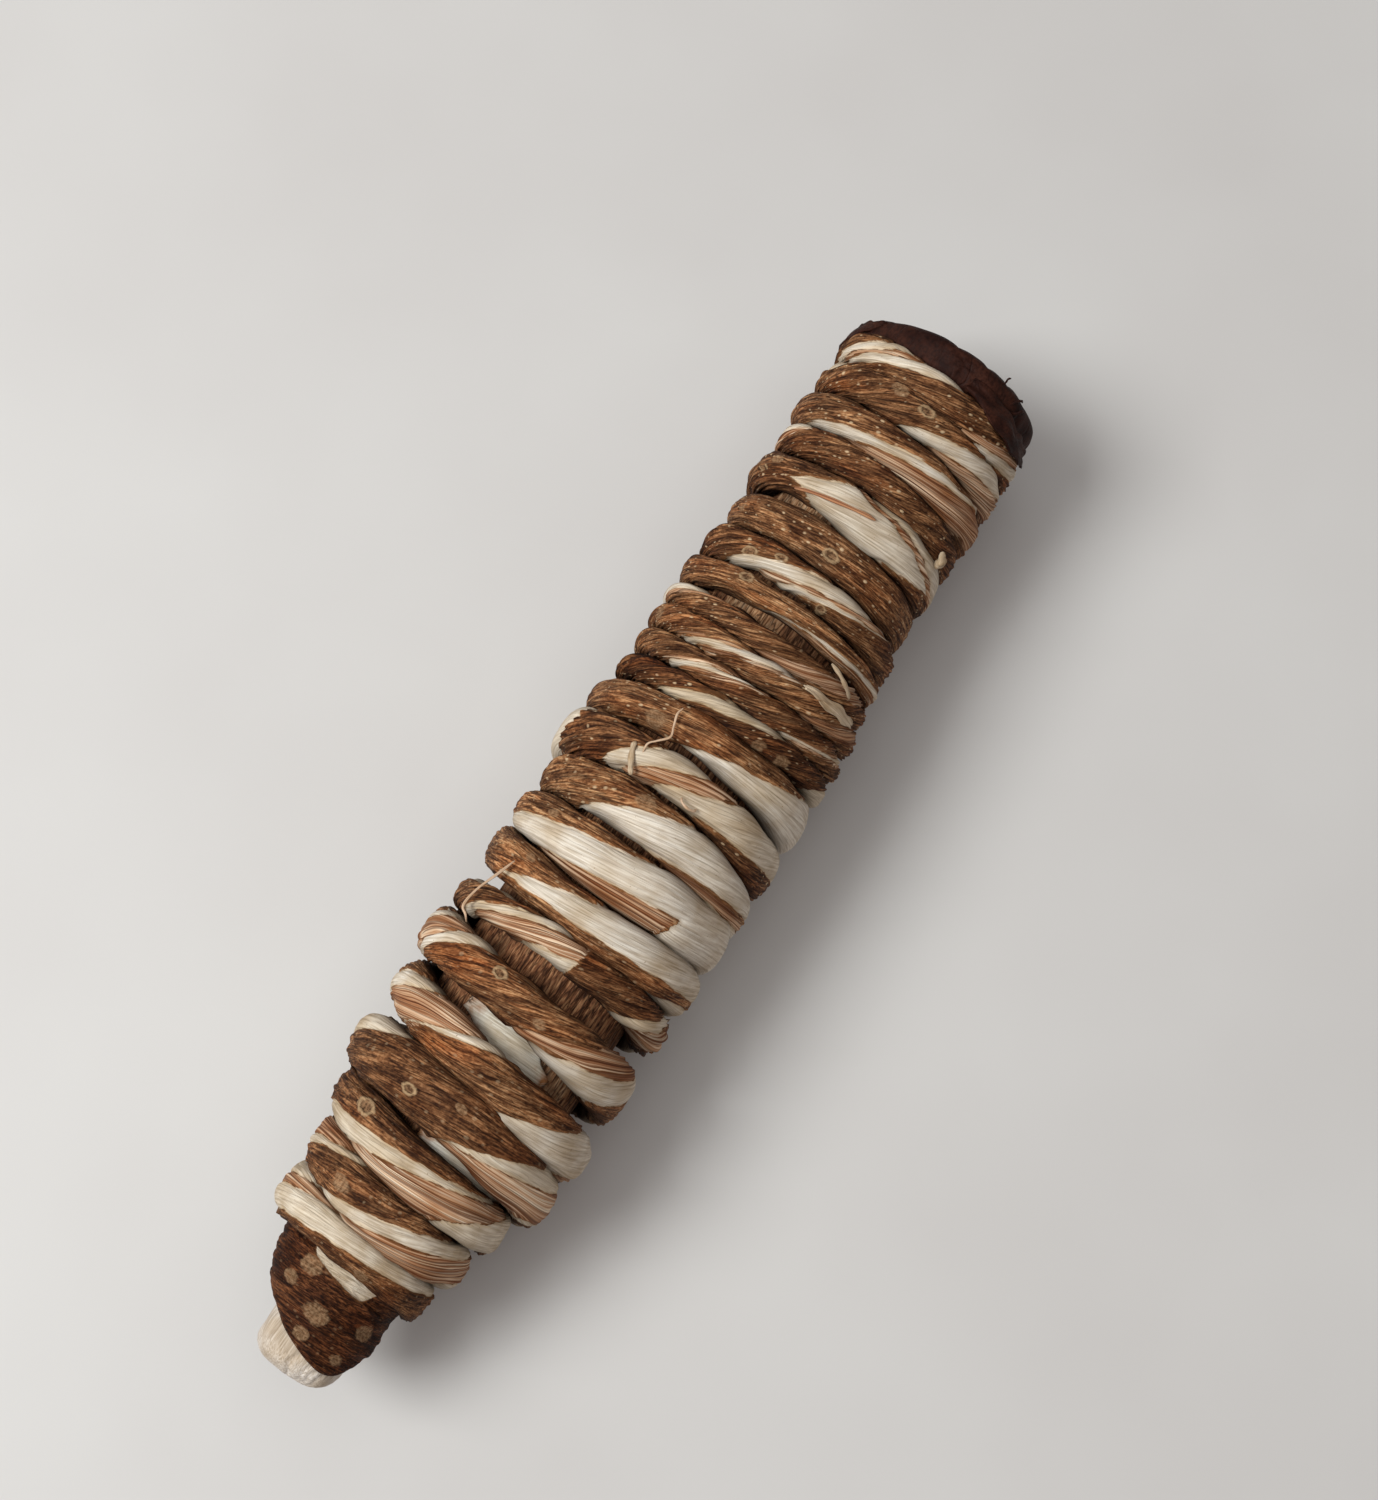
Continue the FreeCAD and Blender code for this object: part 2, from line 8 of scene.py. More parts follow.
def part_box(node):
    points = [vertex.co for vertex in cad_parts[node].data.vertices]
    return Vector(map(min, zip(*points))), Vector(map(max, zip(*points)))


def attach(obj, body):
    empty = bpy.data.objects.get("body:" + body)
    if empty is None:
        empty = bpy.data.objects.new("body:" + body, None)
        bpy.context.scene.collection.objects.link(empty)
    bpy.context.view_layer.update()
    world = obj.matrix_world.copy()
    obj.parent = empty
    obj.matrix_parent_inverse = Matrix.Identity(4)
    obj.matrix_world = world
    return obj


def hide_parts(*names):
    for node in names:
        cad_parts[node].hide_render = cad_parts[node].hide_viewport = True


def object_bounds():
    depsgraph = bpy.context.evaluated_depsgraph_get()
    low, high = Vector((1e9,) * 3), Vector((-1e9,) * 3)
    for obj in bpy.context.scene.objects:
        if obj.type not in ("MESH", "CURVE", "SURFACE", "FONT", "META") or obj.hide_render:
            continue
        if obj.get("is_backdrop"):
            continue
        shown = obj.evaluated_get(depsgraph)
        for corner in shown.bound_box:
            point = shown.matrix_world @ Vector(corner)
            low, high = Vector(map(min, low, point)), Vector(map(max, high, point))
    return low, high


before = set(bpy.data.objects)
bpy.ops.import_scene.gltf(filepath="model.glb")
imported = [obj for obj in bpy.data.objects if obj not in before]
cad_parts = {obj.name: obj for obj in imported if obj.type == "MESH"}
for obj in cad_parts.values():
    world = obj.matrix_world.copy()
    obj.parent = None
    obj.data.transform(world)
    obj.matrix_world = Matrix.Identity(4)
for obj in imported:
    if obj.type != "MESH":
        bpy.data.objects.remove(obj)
cad_low, cad_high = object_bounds()
core_low, core_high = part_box("core_tube")
AXIS_Y = (core_low.y + core_high.y) / 2
AXIS_Z = (core_low.z + core_high.z) / 2
MM = 0.001
chance = np.random.default_rng(24)


# ---------------------------------------------------------------- floor, lights and camera
# The stick lies on a pale painted board under a large soft window light, high up on the picture's left.
# The camera looks almost straight down on it from above its narrow half.
def new_material(name):
    made = bpy.data.materials.new(name)
    made.use_nodes = True
    tree = made.node_tree
    return made, tree, tree.nodes["Principled BSDF"]


def give(sockets, values):
    """Link each socket to its value, or set it."""
    for key, value in values.items():
        if isinstance(value, bpy.types.NodeSocket):
            value.id_data.links.new(value, sockets[key])
        else:
            sockets[key].default_value = value


def add_node(tree, kind, settings=None, inputs=None):
    made = tree.nodes.new(kind)
    for key, value in (settings or {}).items():
        setattr(made, key, value)
    give(made.inputs, inputs or {})
    return made


def finish_material(bsdf, shade, rough, gloss=0.5, bump=None):
    """Colour, roughness and gloss, and a bump: its height, its strength and its depth in millimetres."""
    give(bsdf.inputs, {"Base Color": shade, "Roughness": rough, "Specular IOR Level": gloss})
    if bump:
        height, strength, depth = bump
        inputs = {"Height": height, "Strength": strength, "Distance": depth * MM}
        raised = add_node(bsdf.id_data, "ShaderNodeBump", inputs=inputs)
        give(bsdf.inputs, {"Normal": raised.outputs["Normal"]})


def colour(red, green, blue):
    """A colour as seen on a screen, 0 to 255, as the shader wants it."""
    straight = [((c / 255 + 0.055) / 1.055) ** 2.4 for c in (red, green, blue)]
    return (*straight, 1.0)


def noise(vector, scale, detail=2.0, roughness=0.5):
    inputs = {"Vector": vector, "Scale": scale, "Detail": detail, "Roughness": roughness}
    return add_node(vector.id_data, "ShaderNodeTexNoise", inputs=inputs).outputs["Fac"]


def add_ramp(factor, low, high, *shades):
    """Shades spread evenly from a low value of the factor to a high one."""
    ramp = add_node(factor.id_data, "ShaderNodeValToRGB", inputs={"Fac": factor})
    stops = ramp.color_ramp.elements
    while len(stops) < len(shades):
        stops.new(0.5)
    for stop, place, shade in zip(stops, np.linspace(low, high, len(shades)), shades):
        stop.position = place
        stop.color = colour(*shade)
    return ramp.outputs["Color"]


FLOOR_SIZE = 3.0
floor_mesh = bpy.data.meshes.new("floor")
corner = FLOOR_SIZE / 2
corners = [(-corner, -corner, 0), (corner, -corner, 0), (corner, corner, 0), (-corner, corner, 0)]
floor_mesh.from_pydata(corners, [], [(0, 1, 2, 3)])
floor = bpy.data.objects.new("floor", floor_mesh)
bpy.context.scene.collection.objects.link(floor)
board, tree, bsdf = new_material("painted board")
place = add_node(tree, "ShaderNodeTexCoord").outputs["Object"]
shade = add_ramp(noise(place, 9.0, 3.0), 0.3, 0.7, (200, 197, 195), (206, 204, 202))
finish_material(bsdf, shade, 0.55)
floor_mesh.materials.append(board)
floor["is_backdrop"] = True

# Each lamp's place, size and power. All are aimed at the middle of the board.
LAMPS = {"window": ((-0.54, 0.86, 1.36), 0.75, 26.0), "ceiling": ((0.1, 0.0, 1.6), 1.6, 7.6)}
DAYLIGHT = (0.96, 0.985, 0.975)
for name, (place, size, power) in LAMPS.items():
    data = bpy.data.lights.new(name, "AREA")
    data.size = size
    data.energy = power
    data.color = DAYLIGHT
    lamp = bpy.data.objects.new(name, data)
    lamp.location = place
    lamp.rotation_euler = (-Vector(place)).to_track_quat("-Z", "Y").to_euler()
    bpy.context.scene.collection.objects.link(lamp)
room = bpy.data.worlds.new("room")
room.use_nodes = True
sky = room.node_tree.nodes["Background"].inputs
give(sky, {"Color": (1.0, 0.88, 0.85, 1.0), "Strength": 0.2})
bpy.context.scene.world = room
bpy.context.scene.view_settings.view_transform = "Standard"

CAMERA_PLACE = Vector((-0.0772, AXIS_Y - 0.0440, AXIS_Z + 0.5916))
CAMERA_LOOK = Vector((0.17697, 0.07776, -0.98114))
CAMERA_RIGHT = Vector((0.54735, -0.83627, 0.03244))
lens = bpy.data.cameras.new("camera")
lens.lens = 57.6
lens.sensor_width = 36.0
lens.sensor_fit = "AUTO"
lens.clip_start = 0.01
camera = bpy.data.objects.new("camera", lens)
look = CAMERA_LOOK.normalized()
right = (CAMERA_RIGHT - CAMERA_RIGHT.dot(look) * look).normalized()
turned = Matrix((right, right.cross(look), -look)).transposed()
camera.matrix_world = Matrix.Translation(CAMERA_PLACE) @ turned.to_4x4()
bpy.context.scene.collection.objects.link(camera)
bpy.context.scene.camera = camera


# ---------------------------------------------------------------- the hollow stalk
# The tube is the dried flower stalk of a tall plant, pale stringy wood that tapers to both ends.
# It is reamed out to a long chamber and pierced all round for the pins.
def new_group(name, inputs, outputs):
    """An empty node group; inputs and outputs map a socket's name to its kind."""
    group = bpy.data.node_groups.new(name, "ShaderNodeTree")
    for direction, sockets in (("INPUT", inputs), ("OUTPUT", outputs)):
        for key, kind in sockets.items():
            group.interface.new_socket(key, in_out=direction, socket_type="NodeSocket" + kind)
    given = group.nodes.new("NodeGroupInput").outputs
    result = group.nodes.new("NodeGroupOutput").inputs
    return group, given, result


def place_group(tree, group, inputs):
    """A node group placed in a tree; gives its outputs."""
    return add_node(tree, "ShaderNodeGroup", {"node_tree": group}, inputs).outputs


def calc(operation, first, *others, clamp=False):
    settings = {"operation": operation, "use_clamp": clamp}
    made = add_node(first.id_data, "ShaderNodeMath", settings, dict(enumerate((first, *others))))
    return made.outputs[0]


def times(first, second):
    return calc("MULTIPLY", first, second)


def minus(first, second):
    return calc("SUBTRACT", first, second)


def ramp_up(value, steepness, start):
    """A straight rise of the value, kept between 0 and 1."""
    return calc("MULTIPLY_ADD", value, steepness, start, clamp=True)


def stretch(vector, factors):
    settings = {"operation": "MULTIPLY"}
    return add_node(vector.id_data, "ShaderNodeVectorMath", settings, {0: vector, 1: factors}).outputs[0]


def mix(factor, first, second, how="MIX"):
    """The first colour, gone over to the second as far as the factor says."""
    tree = (factor if isinstance(first, tuple) else first).id_data
    first, second = (colour(*shade) if isinstance(shade, tuple) else shade for shade in (first, second))
    settings = {"data_type": "RGBA", "blend_type": how}
    return add_node(tree, "ShaderNodeMix", settings, {0: factor, 6: first, 7: second}).outputs[2]


def paint(mask, share, shade, over):
    """A colour painted over another where the mask is, as thickly as the share."""
    return mix(times(mask, share), shade, over)


def wash(factor, shade, darkening):
    """A colour darkened by another laid over it; it lays tints, stains and painted shade."""
    return mix(factor, shade, darkening, "MULTIPLY")


# Lines that run with the fibres: threads, broader strands, and the cracks between strands.
fibre_lines, given, result = new_group(
    "fibre lines", {"Fibre": "Vector", "Fineness": "Float", "Draw": "Float"},
    {"Threads": "Float", "Strands": "Float", "Cracks": "Float"})
along_only = add_node(fibre_lines, "ShaderNodeCombineXYZ", inputs={0: 1.0, 1: 1.0, 2: given["Draw"]})
drawn = stretch(given["Fibre"], along_only.outputs[0])
threads = noise(drawn, given["Fineness"], 3.0, 0.6)
strands = noise(drawn, times(given["Fineness"], 0.33), 2.0)
seam = noise(drawn, times(given["Fineness"], 0.55), 2.0, 0.4)
off_seam = calc("ABSOLUTE", minus(seam, 0.5))
cracks = ramp_up(off_seam, -22.0, 1.0)
give(result, {"Threads": threads, "Strands": strands, "Cracks": cracks})


def lines_along(fibre, fineness, draw):
    return place_group(fibre.id_data, fibre_lines, {"Fibre": fibre, "Fineness": fineness, "Draw": draw})


def solid_grain(tree):
    """Millimetres across and then along the stick, for a solid that is kept as it is."""
    place = add_node(tree, "ShaderNodeTexCoord").outputs["Object"]
    split = add_node(tree, "ShaderNodeSeparateXYZ", inputs={0: place}).outputs
    joined = add_node(tree, "ShaderNodeCombineXYZ", inputs={0: split[1], 1: split[2], 2: split[0]})
    return stretch(joined.outputs[0], (1 / MM, 1 / MM, 1 / MM))


def finish_solid(material, *names):
    for name in names:
        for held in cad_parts[name].material_slots:
            held.material = material


def plain_wood(name, shades, fineness, draw, rough):
    """Dry wood or cane with its grain along the stick, in three shades from dark lines to light ones."""
    made, tree, bsdf = new_material(name)
    lines = lines_along(solid_grain(tree), fineness, draw)
    shade = add_ramp(lines["Threads"], 0.38, 0.62, *shades)
    shade = wash(times(lines["Cracks"], 0.6), shade, shades[0])
    height = minus(lines["Threads"], lines["Cracks"])
    finish_material(bsdf, shade, rough, bump=(height, 0.6, 0.3))
    return made


stalk_wood = plain_wood("stalk wood", ((128, 98, 66), (180, 150, 110), (206, 184, 150)), 1.1, 0.05, 0.8)
finish_solid(stalk_wood, "core_tube")


# ---------------------------------------------------------------- the pins
# Slivers of split cane stand in the wall of the stalk in one long spiral, which the CAD holds in four
# lengths. The seeds rattle down over them.
split_cane = plain_wood("split cane", ((150, 112, 62), (200, 168, 112), (226, 204, 156)), 2.4, 0.5, 0.5)
finish_solid(split_cane, *[f"pin_spiral_{number}" for number in range(1, 5)])


# ---------------------------------------------------------------- the seeds
# A handful of small hard dry seeds, brown with pale specks, is poured into the chamber before it is closed.
# They run from end to end past the pins when the stick is tipped.
seed_coat, tree, bsdf = new_material("seed coat")
grain = solid_grain(tree)
shade = add_ramp(noise(grain, 0.35), 0.35, 0.65, (62, 38, 22), (96, 62, 38), (134, 98, 62))
speckle = noise(grain, 2.2, 3.0)
shade = wash(0.6, shade, add_ramp(speckle, 0.4, 0.6, (120, 96, 74), (226, 216, 200)))
rough = calc("MULTIPLY_ADD", noise(grain, 1.6), 0.3, 0.25)
finish_material(bsdf, shade, rough, bump=(speckle, 0.3, 0.2))
finish_solid(seed_coat, "seeds_bottom_lane", "seeds_left_lane", "seeds_right_lane")


# ---------------------------------------------------------------- the end disc
# A disc of pale brown wood, turned to fit, is pushed into the wide end of the stalk once the seeds are in.
# It closes the chamber, and the cap hides it.
turned_wood = plain_wood("turned wood", ((146, 104, 62), (188, 148, 100), (212, 180, 134)), 0.9, 0.4, 0.55)
finish_solid(turned_wood, "wide_end_plug")


# ---------------------------------------------------------------- the bark sleeve
# Strips of bark lie lengthwise round the stalk, edge to edge, and make a brown ribbed sleeve under the
# winding. In a few places the brown face has come away and the tan inner bark shows.
def smooth_through(keys, values, at):
    """A smooth curve through the values at the keys, read at the places at."""
    keys = np.asarray(keys, float)
    values = np.asarray(values, float)
    slopes = np.gradient(values, keys)
    i = np.clip(np.searchsorted(keys, at) - 1, 0, len(keys) - 2)
    step = keys[i + 1] - keys[i]
    u = np.clip((at - keys[i]) / step, 0, 1)
    return ((1 + 2 * u) * (1 - u) ** 2 * values[i] + u * u * (3 - 2 * u) * values[i + 1]
            + step * (u * (1 - u) ** 2 * slopes[i] - u * u * (1 - u) * slopes[i + 1]))


def vectors(*parts):
    return np.stack(np.broadcast_arrays(*parts), -1)


def round_angles(count):
    return np.arange(count) * 2 * math.pi / count


def around_stick(place, angle, radius):
    """Points in metres, from millimetres along the stick, an angle round it and millimetres off its axis."""
    return vectors(place * MM, AXIS_Y + radius * np.cos(angle) * MM, AXIS_Z + radius * np.sin(angle) * MM)


def closed_mesh(name, points, material, fields=None, joined=False):
    """A closed skin over rows of points.

    Each row is a loop. Where joined, the last row meets the first, and otherwise both are filled.
    """
    rows, count = points.shape[:2]
    first = np.arange(count)
    following = (first + 1) % count
    start = (np.arange(rows if joined else rows - 1) * count)[:, None]
    above = (start + count) % (rows * count)
    quads = np.stack([start + first, start + following, above + following, above + first], -1).reshape(-1, 4)
    faces = quads.tolist()
    corners = points.reshape(-1, 3)
    if not joined:
        corners = np.vstack([corners, points[0].mean(0), points[-1].mean(0)])
        last = (rows - 1) * count
        faces += [(rows * count, int(b), int(a)) for a, b in zip(first, following)]
        faces += [(rows * count + 1, int(last + a), int(last + b)) for a, b in zip(first, following)]
    mesh = bpy.data.meshes.new(name)
    mesh.from_pydata(corners.tolist(), [], faces)
    mesh.polygons.foreach_set("use_smooth", [True] * len(faces))
    for key, values in (fields or {}).items():
        wide = values.ndim == 3
        values = values.reshape(rows * count, -1)
        values = np.vstack([values, np.repeat(values[:1], len(corners) - len(values), 0)])
        target = mesh.attributes.new(key, "FLOAT_VECTOR" if wide else "FLOAT", "POINT")
        target.data.foreach_set("vector" if wide else "value", values.ravel())
    mesh.materials.append(material)
    piece = bpy.data.objects.new(name, mesh)
    bpy.context.scene.collection.objects.link(piece)
    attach(piece, "stick")
    return piece


def ring_fibre(place, angle, radius):
    """The fibre vector where the fibres run along the stick: two ways across, then along, in millimetres."""
    return vectors(radius * np.cos(angle), radius * np.sin(angle), place)


def read(tree, name, socket="Fac"):
    return add_node(tree, "ShaderNodeAttribute", {"attribute_name": name}).outputs[socket]


under = np.array([v.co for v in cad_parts["under_wrap"].data.vertices]) / MM
under_radius = np.hypot(under[:, 1] - AXIS_Y / MM, under[:, 2] - AXIS_Z / MM)
rings = np.round(under[:, 0], 1)
bark_places = np.unique(rings)
bark_radii = np.array([under_radius[rings == x].max() for x in bark_places])
bark_inner_radii = np.array([under_radius[rings == x].min() for x in bark_places])


def bark_radius(at):
    """Outer radius of the bark sleeve along the stick, in millimetres."""
    return np.interp(at, bark_places, bark_radii)


# Where the inner bark is bare: from and to along the stick, and from and to round it in degrees.
BARE_PATCHES = ((33, 46, 20, 86), (46, 53, 45, 100), (58, 67, 48, 93), (84, 101, 30, 82),
                (-64, -50, 118, 150), (-92, -80, 150, 175), (8, 20, 200, 240), (-30, 0, 230, 262),
                (52, 90, 215, 250))
SLEEVE_AROUND = 480
SLEEVE_ALONG = 110
RIB_DEPTH = 0.55
SLEEVE_MIDDLE_RADIUS = 22
OUTSIDE = -9.0  # how deep a point far from every patch or stripe lies inside it
turn_round = round_angles(SLEEVE_AROUND)[:, None]
sleeve_place = np.linspace(bark_places[0], bark_places[-1], SLEEVE_ALONG)[None, :]
broad_ribs = np.sin(53 * turn_round + 2.0 * np.sin(3 * turn_round) + 0.7 * np.sin(sleeve_place / 15))
fine_ribs = np.sin(89 * turn_round + 3.0 * np.sin(2 * turn_round + 1) + 0.9 * np.sin(sleeve_place / 10 + 2))
rib = 0.6 * broad_ribs + 0.4 * fine_ribs
sleeve_radius = bark_radius(sleeve_place) - 0.1 - RIB_DEPTH * np.maximum(rib - 0.05, 0) ** 0.8
bare = np.full(sleeve_radius.shape, OUTSIDE)
side = np.degrees(turn_round)
wander = 0.5 * np.sin(side * 0.9) + 0.4 * np.sin(sleeve_place * 1.7)
for start, stop, low, high in BARE_PATCHES:
    inside_round = np.minimum(side - low, high - side) * math.radians(1) * SLEEVE_MIDDLE_RADIUS
    inside_along = wander + np.minimum(sleeve_place - start, stop - sleeve_place)
    bare = np.maximum(bare, np.minimum(inside_round, inside_along))
inner_side = np.broadcast_to(bark_places[::-1], (SLEEVE_AROUND, len(bark_places)))
inner_radius = np.interp(inner_side, bark_places, bark_inner_radii)
loop_place = np.hstack([np.broadcast_to(sleeve_place, sleeve_radius.shape), inner_side])
loop_radius = np.hstack([sleeve_radius, inner_radius])
bark, tree, bsdf = new_material("bark")
fibre = read(tree, "fibre", "Vector")
lines = lines_along(fibre, 1.7, 0.16)
brown = add_ramp(lines["Threads"], 0.36, 0.64, (78, 48, 32), (144, 98, 68), (186, 142, 104))
tan = add_ramp(lines["Threads"], 0.36, 0.64, (140, 96, 64), (200, 154, 114), (224, 190, 154))
in_bare = ramp_up(calc("ADD", read(tree, "bare"), noise(fibre, 0.8)), 3.0, -1.0)
shade = mix(in_bare, brown, tan)
patches = add_ramp(noise(fibre, 0.12), 0.35, 0.65, (150, 142, 138), (255, 246, 238))
shade = wash(0.8, shade, patches)
shade = paint(lines["Cracks"], 0.75, shade, (44, 27, 18))
height = minus(lines["Threads"], times(lines["Cracks"], 0.7))
finish_material(bsdf, shade, 0.75, gloss=0.15, bump=(height, 0.8, 0.5))
fields = {"fibre": ring_fibre(loop_place, turn_round, loop_radius),
          "bare": np.hstack([bare, np.full(inner_side.shape, OUTSIDE)])}
loop = around_stick(loop_place, turn_round, loop_radius)
sleeve = closed_mesh("bark_sleeve", loop, bark, fields, joined=True)
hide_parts("under_wrap")


# ---------------------------------------------------------------- the tucked sheets
# Thin sheets peeled from the inside of the stem are tucked under the winding here and there. They are pale
# and papery, lie on the bark, and show where two turns stand apart.
LAYER_OUTPUTS = {"Color": "Color", "Height": "Float"}
pith, given, result = new_group("pith", {"Fibre": "Vector"}, LAYER_OUTPUTS)
lines = lines_along(given["Fibre"], 2.4, 0.04)
shade = add_ramp(lines["Threads"], 0.38, 0.62, (197, 183, 164), (219, 207, 191), (233, 224, 210))
shade = paint(lines["Cracks"], 0.16, shade, (146, 120, 95))
cloudy = add_ramp(noise(given["Fibre"], 0.1, 3.0), 0.35, 0.6, (228, 218, 204), (255, 255, 255))
shade = wash(1.0, shade, cloudy)
grit = noise(given["Fibre"], 2.6, 1.0)
shade = mix(ramp_up(grit, 9.0, -6.4), shade, (150, 122, 94))
height = minus(lines["Threads"], times(lines["Cracks"], 0.6))
give(result, {"Color": shade, "Height": times(height, 0.45)})


def pith_material(name, tint, stained=False):
    """Pale pith, tinted; a stained one has gone brown along its torn ends."""
    made, tree, bsdf = new_material(name)
    fibre = read(tree, "fibre", "Vector")
    inner = place_group(tree, pith, {"Fibre": fibre})
    shade = wash(1.0, inner["Color"], tint)
    if stained:
        uneven = calc("MULTIPLY_ADD", noise(fibre, 0.3, 3.0), 2.6, -0.5)
        darkening = calc("SUBTRACT", uneven, times(read(tree, "end"), 0.16), clamp=True)
        shade = mix(darkening, shade, (156, 104, 64))
    finish_material(bsdf, shade, 0.8, gloss=0.15, bump=(inner["Height"], 0.7, 0.4))
    return made


SHEET_ROWS = 70
SHEET_ACROSS = 16


def hump(value, middle, reach):
    """A smooth hump, 1 high, round a middle value."""
    return np.exp(-(((value - middle) / reach) ** 2))


def lay_sheet(name, rows, material, thickness=0.3, ragged=0.0, fold=0.0):
    """A thin sheet laid round the stick.

    Each row is an angle in degrees, then the place and radius of the sheet's two edges there. The ends are
    torn to a depth of ragged, and a soft fold stands up by fold along the middle.
    """
    down = np.linspace(0, 1, SHEET_ROWS)[:, None]
    across = np.linspace(0, 1, SHEET_ACROSS)[None, :]
    spaced = np.linspace(0, 1, len(rows))
    degrees, place_a, radius_a, place_b, radius_b = (smooth_through(spaced, row, down) for row in zip(*rows))
    tear = np.cumsum(chance.normal(0, 1, SHEET_ACROSS))
    tear = ragged * (tear - tear.min()) / np.ptp(tear)
    degrees = degrees + tear * (2 * down - 1) ** 3
    place = place_a + (place_b - place_a) * across + 0.3 * np.sin(degrees * 0.4 + place_a)
    ripple = 0.12 * np.sin(across * 9 + down * 7) + 0.08 * np.sin(across * 21 - down * 11)
    folded = fold * hump(across - 0.2 - 0.6 * down, 0, 0.12)
    radius = radius_a + (radius_b - radius_a) * across + ripple + folded
    angle = np.radians(degrees)
    outside = around_stick(place, angle, radius + thickness / 2)
    inside = around_stick(place, angle, radius - thickness / 2)
    off_end = np.minimum(down, 1 - down) * np.ptp(angle) * radius
    fields = {"fibre": vectors(place, 0, angle * radius), "end": off_end}
    fields = {key: np.concatenate([values, values[:, ::-1]], 1) for key, values in fields.items()}
    return closed_mesh(name, np.concatenate([outside, inside[:, ::-1]], 1), material, fields)


paper = pith_material("papery inner sheet", (246, 250, 252), stained=True)
TUCKED_SHEETS = {
    "tucked_sheet_1": ((84, -90, 21, -80, 22), (105, -91, 21, -81, 22), (130, -93, 20.5, -82, 22),
                       (160, -94, 20, -84, 22)),
    "tucked_sheet_2": ((28, -71, 23, -62, 23.4), (50, -73, 23.2, -64, 23.6), (75, -75, 22.8, -66, 23.2),
                       (96, -76, 22.4, -68, 22.8)),
    "tucked_sheet_3": ((66, -55, 22.6, -50, 22.8), (82, -60, 23.0, -48, 23.4), (98, -63, 23.6, -50, 23.6),
                       (112, -66, 23.4, -54, 23.2), (121, -68, 22.8, -58, 22.8)),
    "tucked_sheet_4": ((128, 50, 22.6, 60, 22.8), (150, 48, 22.6, 60, 22.8), (172, 46, 22.5, 60, 22.6)),
}
for name, rows in TUCKED_SHEETS.items():
    tucked = lay_sheet(name, rows, paper, ragged=9.0, fold=0.5)


# ---------------------------------------------------------------- the winding
# Lengths of plant stem, brown skin outside and white pith inside, are twisted into soft ropes and wound
# tightly round the bark, each turn against the next. Where the skin has torn or rolled back, the pith shows
# as white stripes and the ragged inner layer as pink-brown ones, and they run on a slant with the twist.

# For each turn, in millimetres: where its crest lies along the stick, its width and its outer radius at the
# +Y side; then its place and width on top; then its place, width and outer radius at the -Y side.
# The last two are how often the strip turns over itself in one turn, and how light its skin is.
TURNS = (
    (-112.4, 14.1, 27.0, -116.6, 8.6, -119.2, 10.0, 19.5, 0.6, 0.25),
    (-99.0, 12.6, 27.2, -106.6, 12.9, -107.8, 10.8, 22.7, 0.9, 0.35),
    (-86.0, 12.6, 29.2, -93.5, 13.4, -96.0, 11.0, 25.6, 0.6, 0.20),
    (-74.0, 14.1, 33.0, -77.4, 14.8, -83.9, 14.1, 31.6, 0.7, 0.20),
    (-56.7, 12.5, 31.9, -65.4, 12.0, -70.9, 13.1, 32.6, 1.2, 0.58),
    (-42.5, 13.1, 33.4, -48.2, 11.0, -52.4, 15.6, 32.8, 1.7, 0.62),
    (-31.2, 8.6, 31.5, -32.0, 7.8, -34.8, 10.0, 32.0, 2.0, 0.25),
    (-16.8, 11.6, 31.8, -23.0, 10.8, -22.8, 12.6, 32.6, 0.6, 0.85),
    (-5.3, 10.9, 31.3, -9.7, 14.2, -9.5, 13.8, 32.4, 0.5, 0.76),
    (5.5, 11.2, 30.2, 5.0, 12.0, -0.3, 11.4, 32.9, 1.2, 0.80),
    (16.5, 14.2, 33.1, 16.9, 9.8, 12.0, 13.6, 32.9, 1.6, 0.25),
    (27.8, 10.3, 31.7, 29.0, 9.4, 26.9, 13.4, 32.6, 0.5, 0.72),
    (38.0, 6.2, 29.3, 36.8, 6.4, 38.2, 6.6, 32.0, 2.8, 0.0),
    (46.3, 7.4, 29.5, 43.4, 6.4, 44.7, 7.2, 32.0, 2.8, 0.40),
    (53.9, 7.4, 30.0, 50.4, 6.8, 52.2, 7.2, 31.9, 2.8, 0.65),
    (60.6, 6.6, 30.3, 57.0, 6.4, 59.3, 7.0, 30.2, 2.6, 0.40),
    (68.1, 8.1, 30.4, 66.8, 5.8, 65.7, 6.6, 29.4, 0.6, 0.86),
    (77.6, 10.0, 29.4, 75.2, 8.0, 73.2, 8.6, 29.1, 1.6, 0.40),
    (88.1, 9.2, 28.5, 85.5, 10.6, 83.7, 10.2, 27.6, 0.3, 0.52),
    (100.0, 12.4, 29.4, 97.3, 11.6, 95.0, 11.2, 27.8, 0.8, 0.30),
    (110.6, 8.4, 28.3, 107.4, 8.2, 104.7, 9.2, 27.7, 1.6, 0.30),
    (120.2, 9.7, 29.5, 116.2, 10.2, 114.4, 9.8, 28.5, 1.0, 0.50),
    (130.3, 9.6, 28.0, 126.8, 9.8, 124.2, 9.2, 28.3, 2.0, 0.36),
    (140.0, 10.0, 28.6, 134.8, 8.8, 133.8, 10.0, 28.1, 1.6, 0.35),
)
WIND_START = 0.281
WIND_STOP = 24.406
STRIP_ENDS = (WIND_START, 2.281, 4.281, 6.281, 7.969, 9.844, 11.719, 16.281, 19.594, 21.281, WIND_STOP)
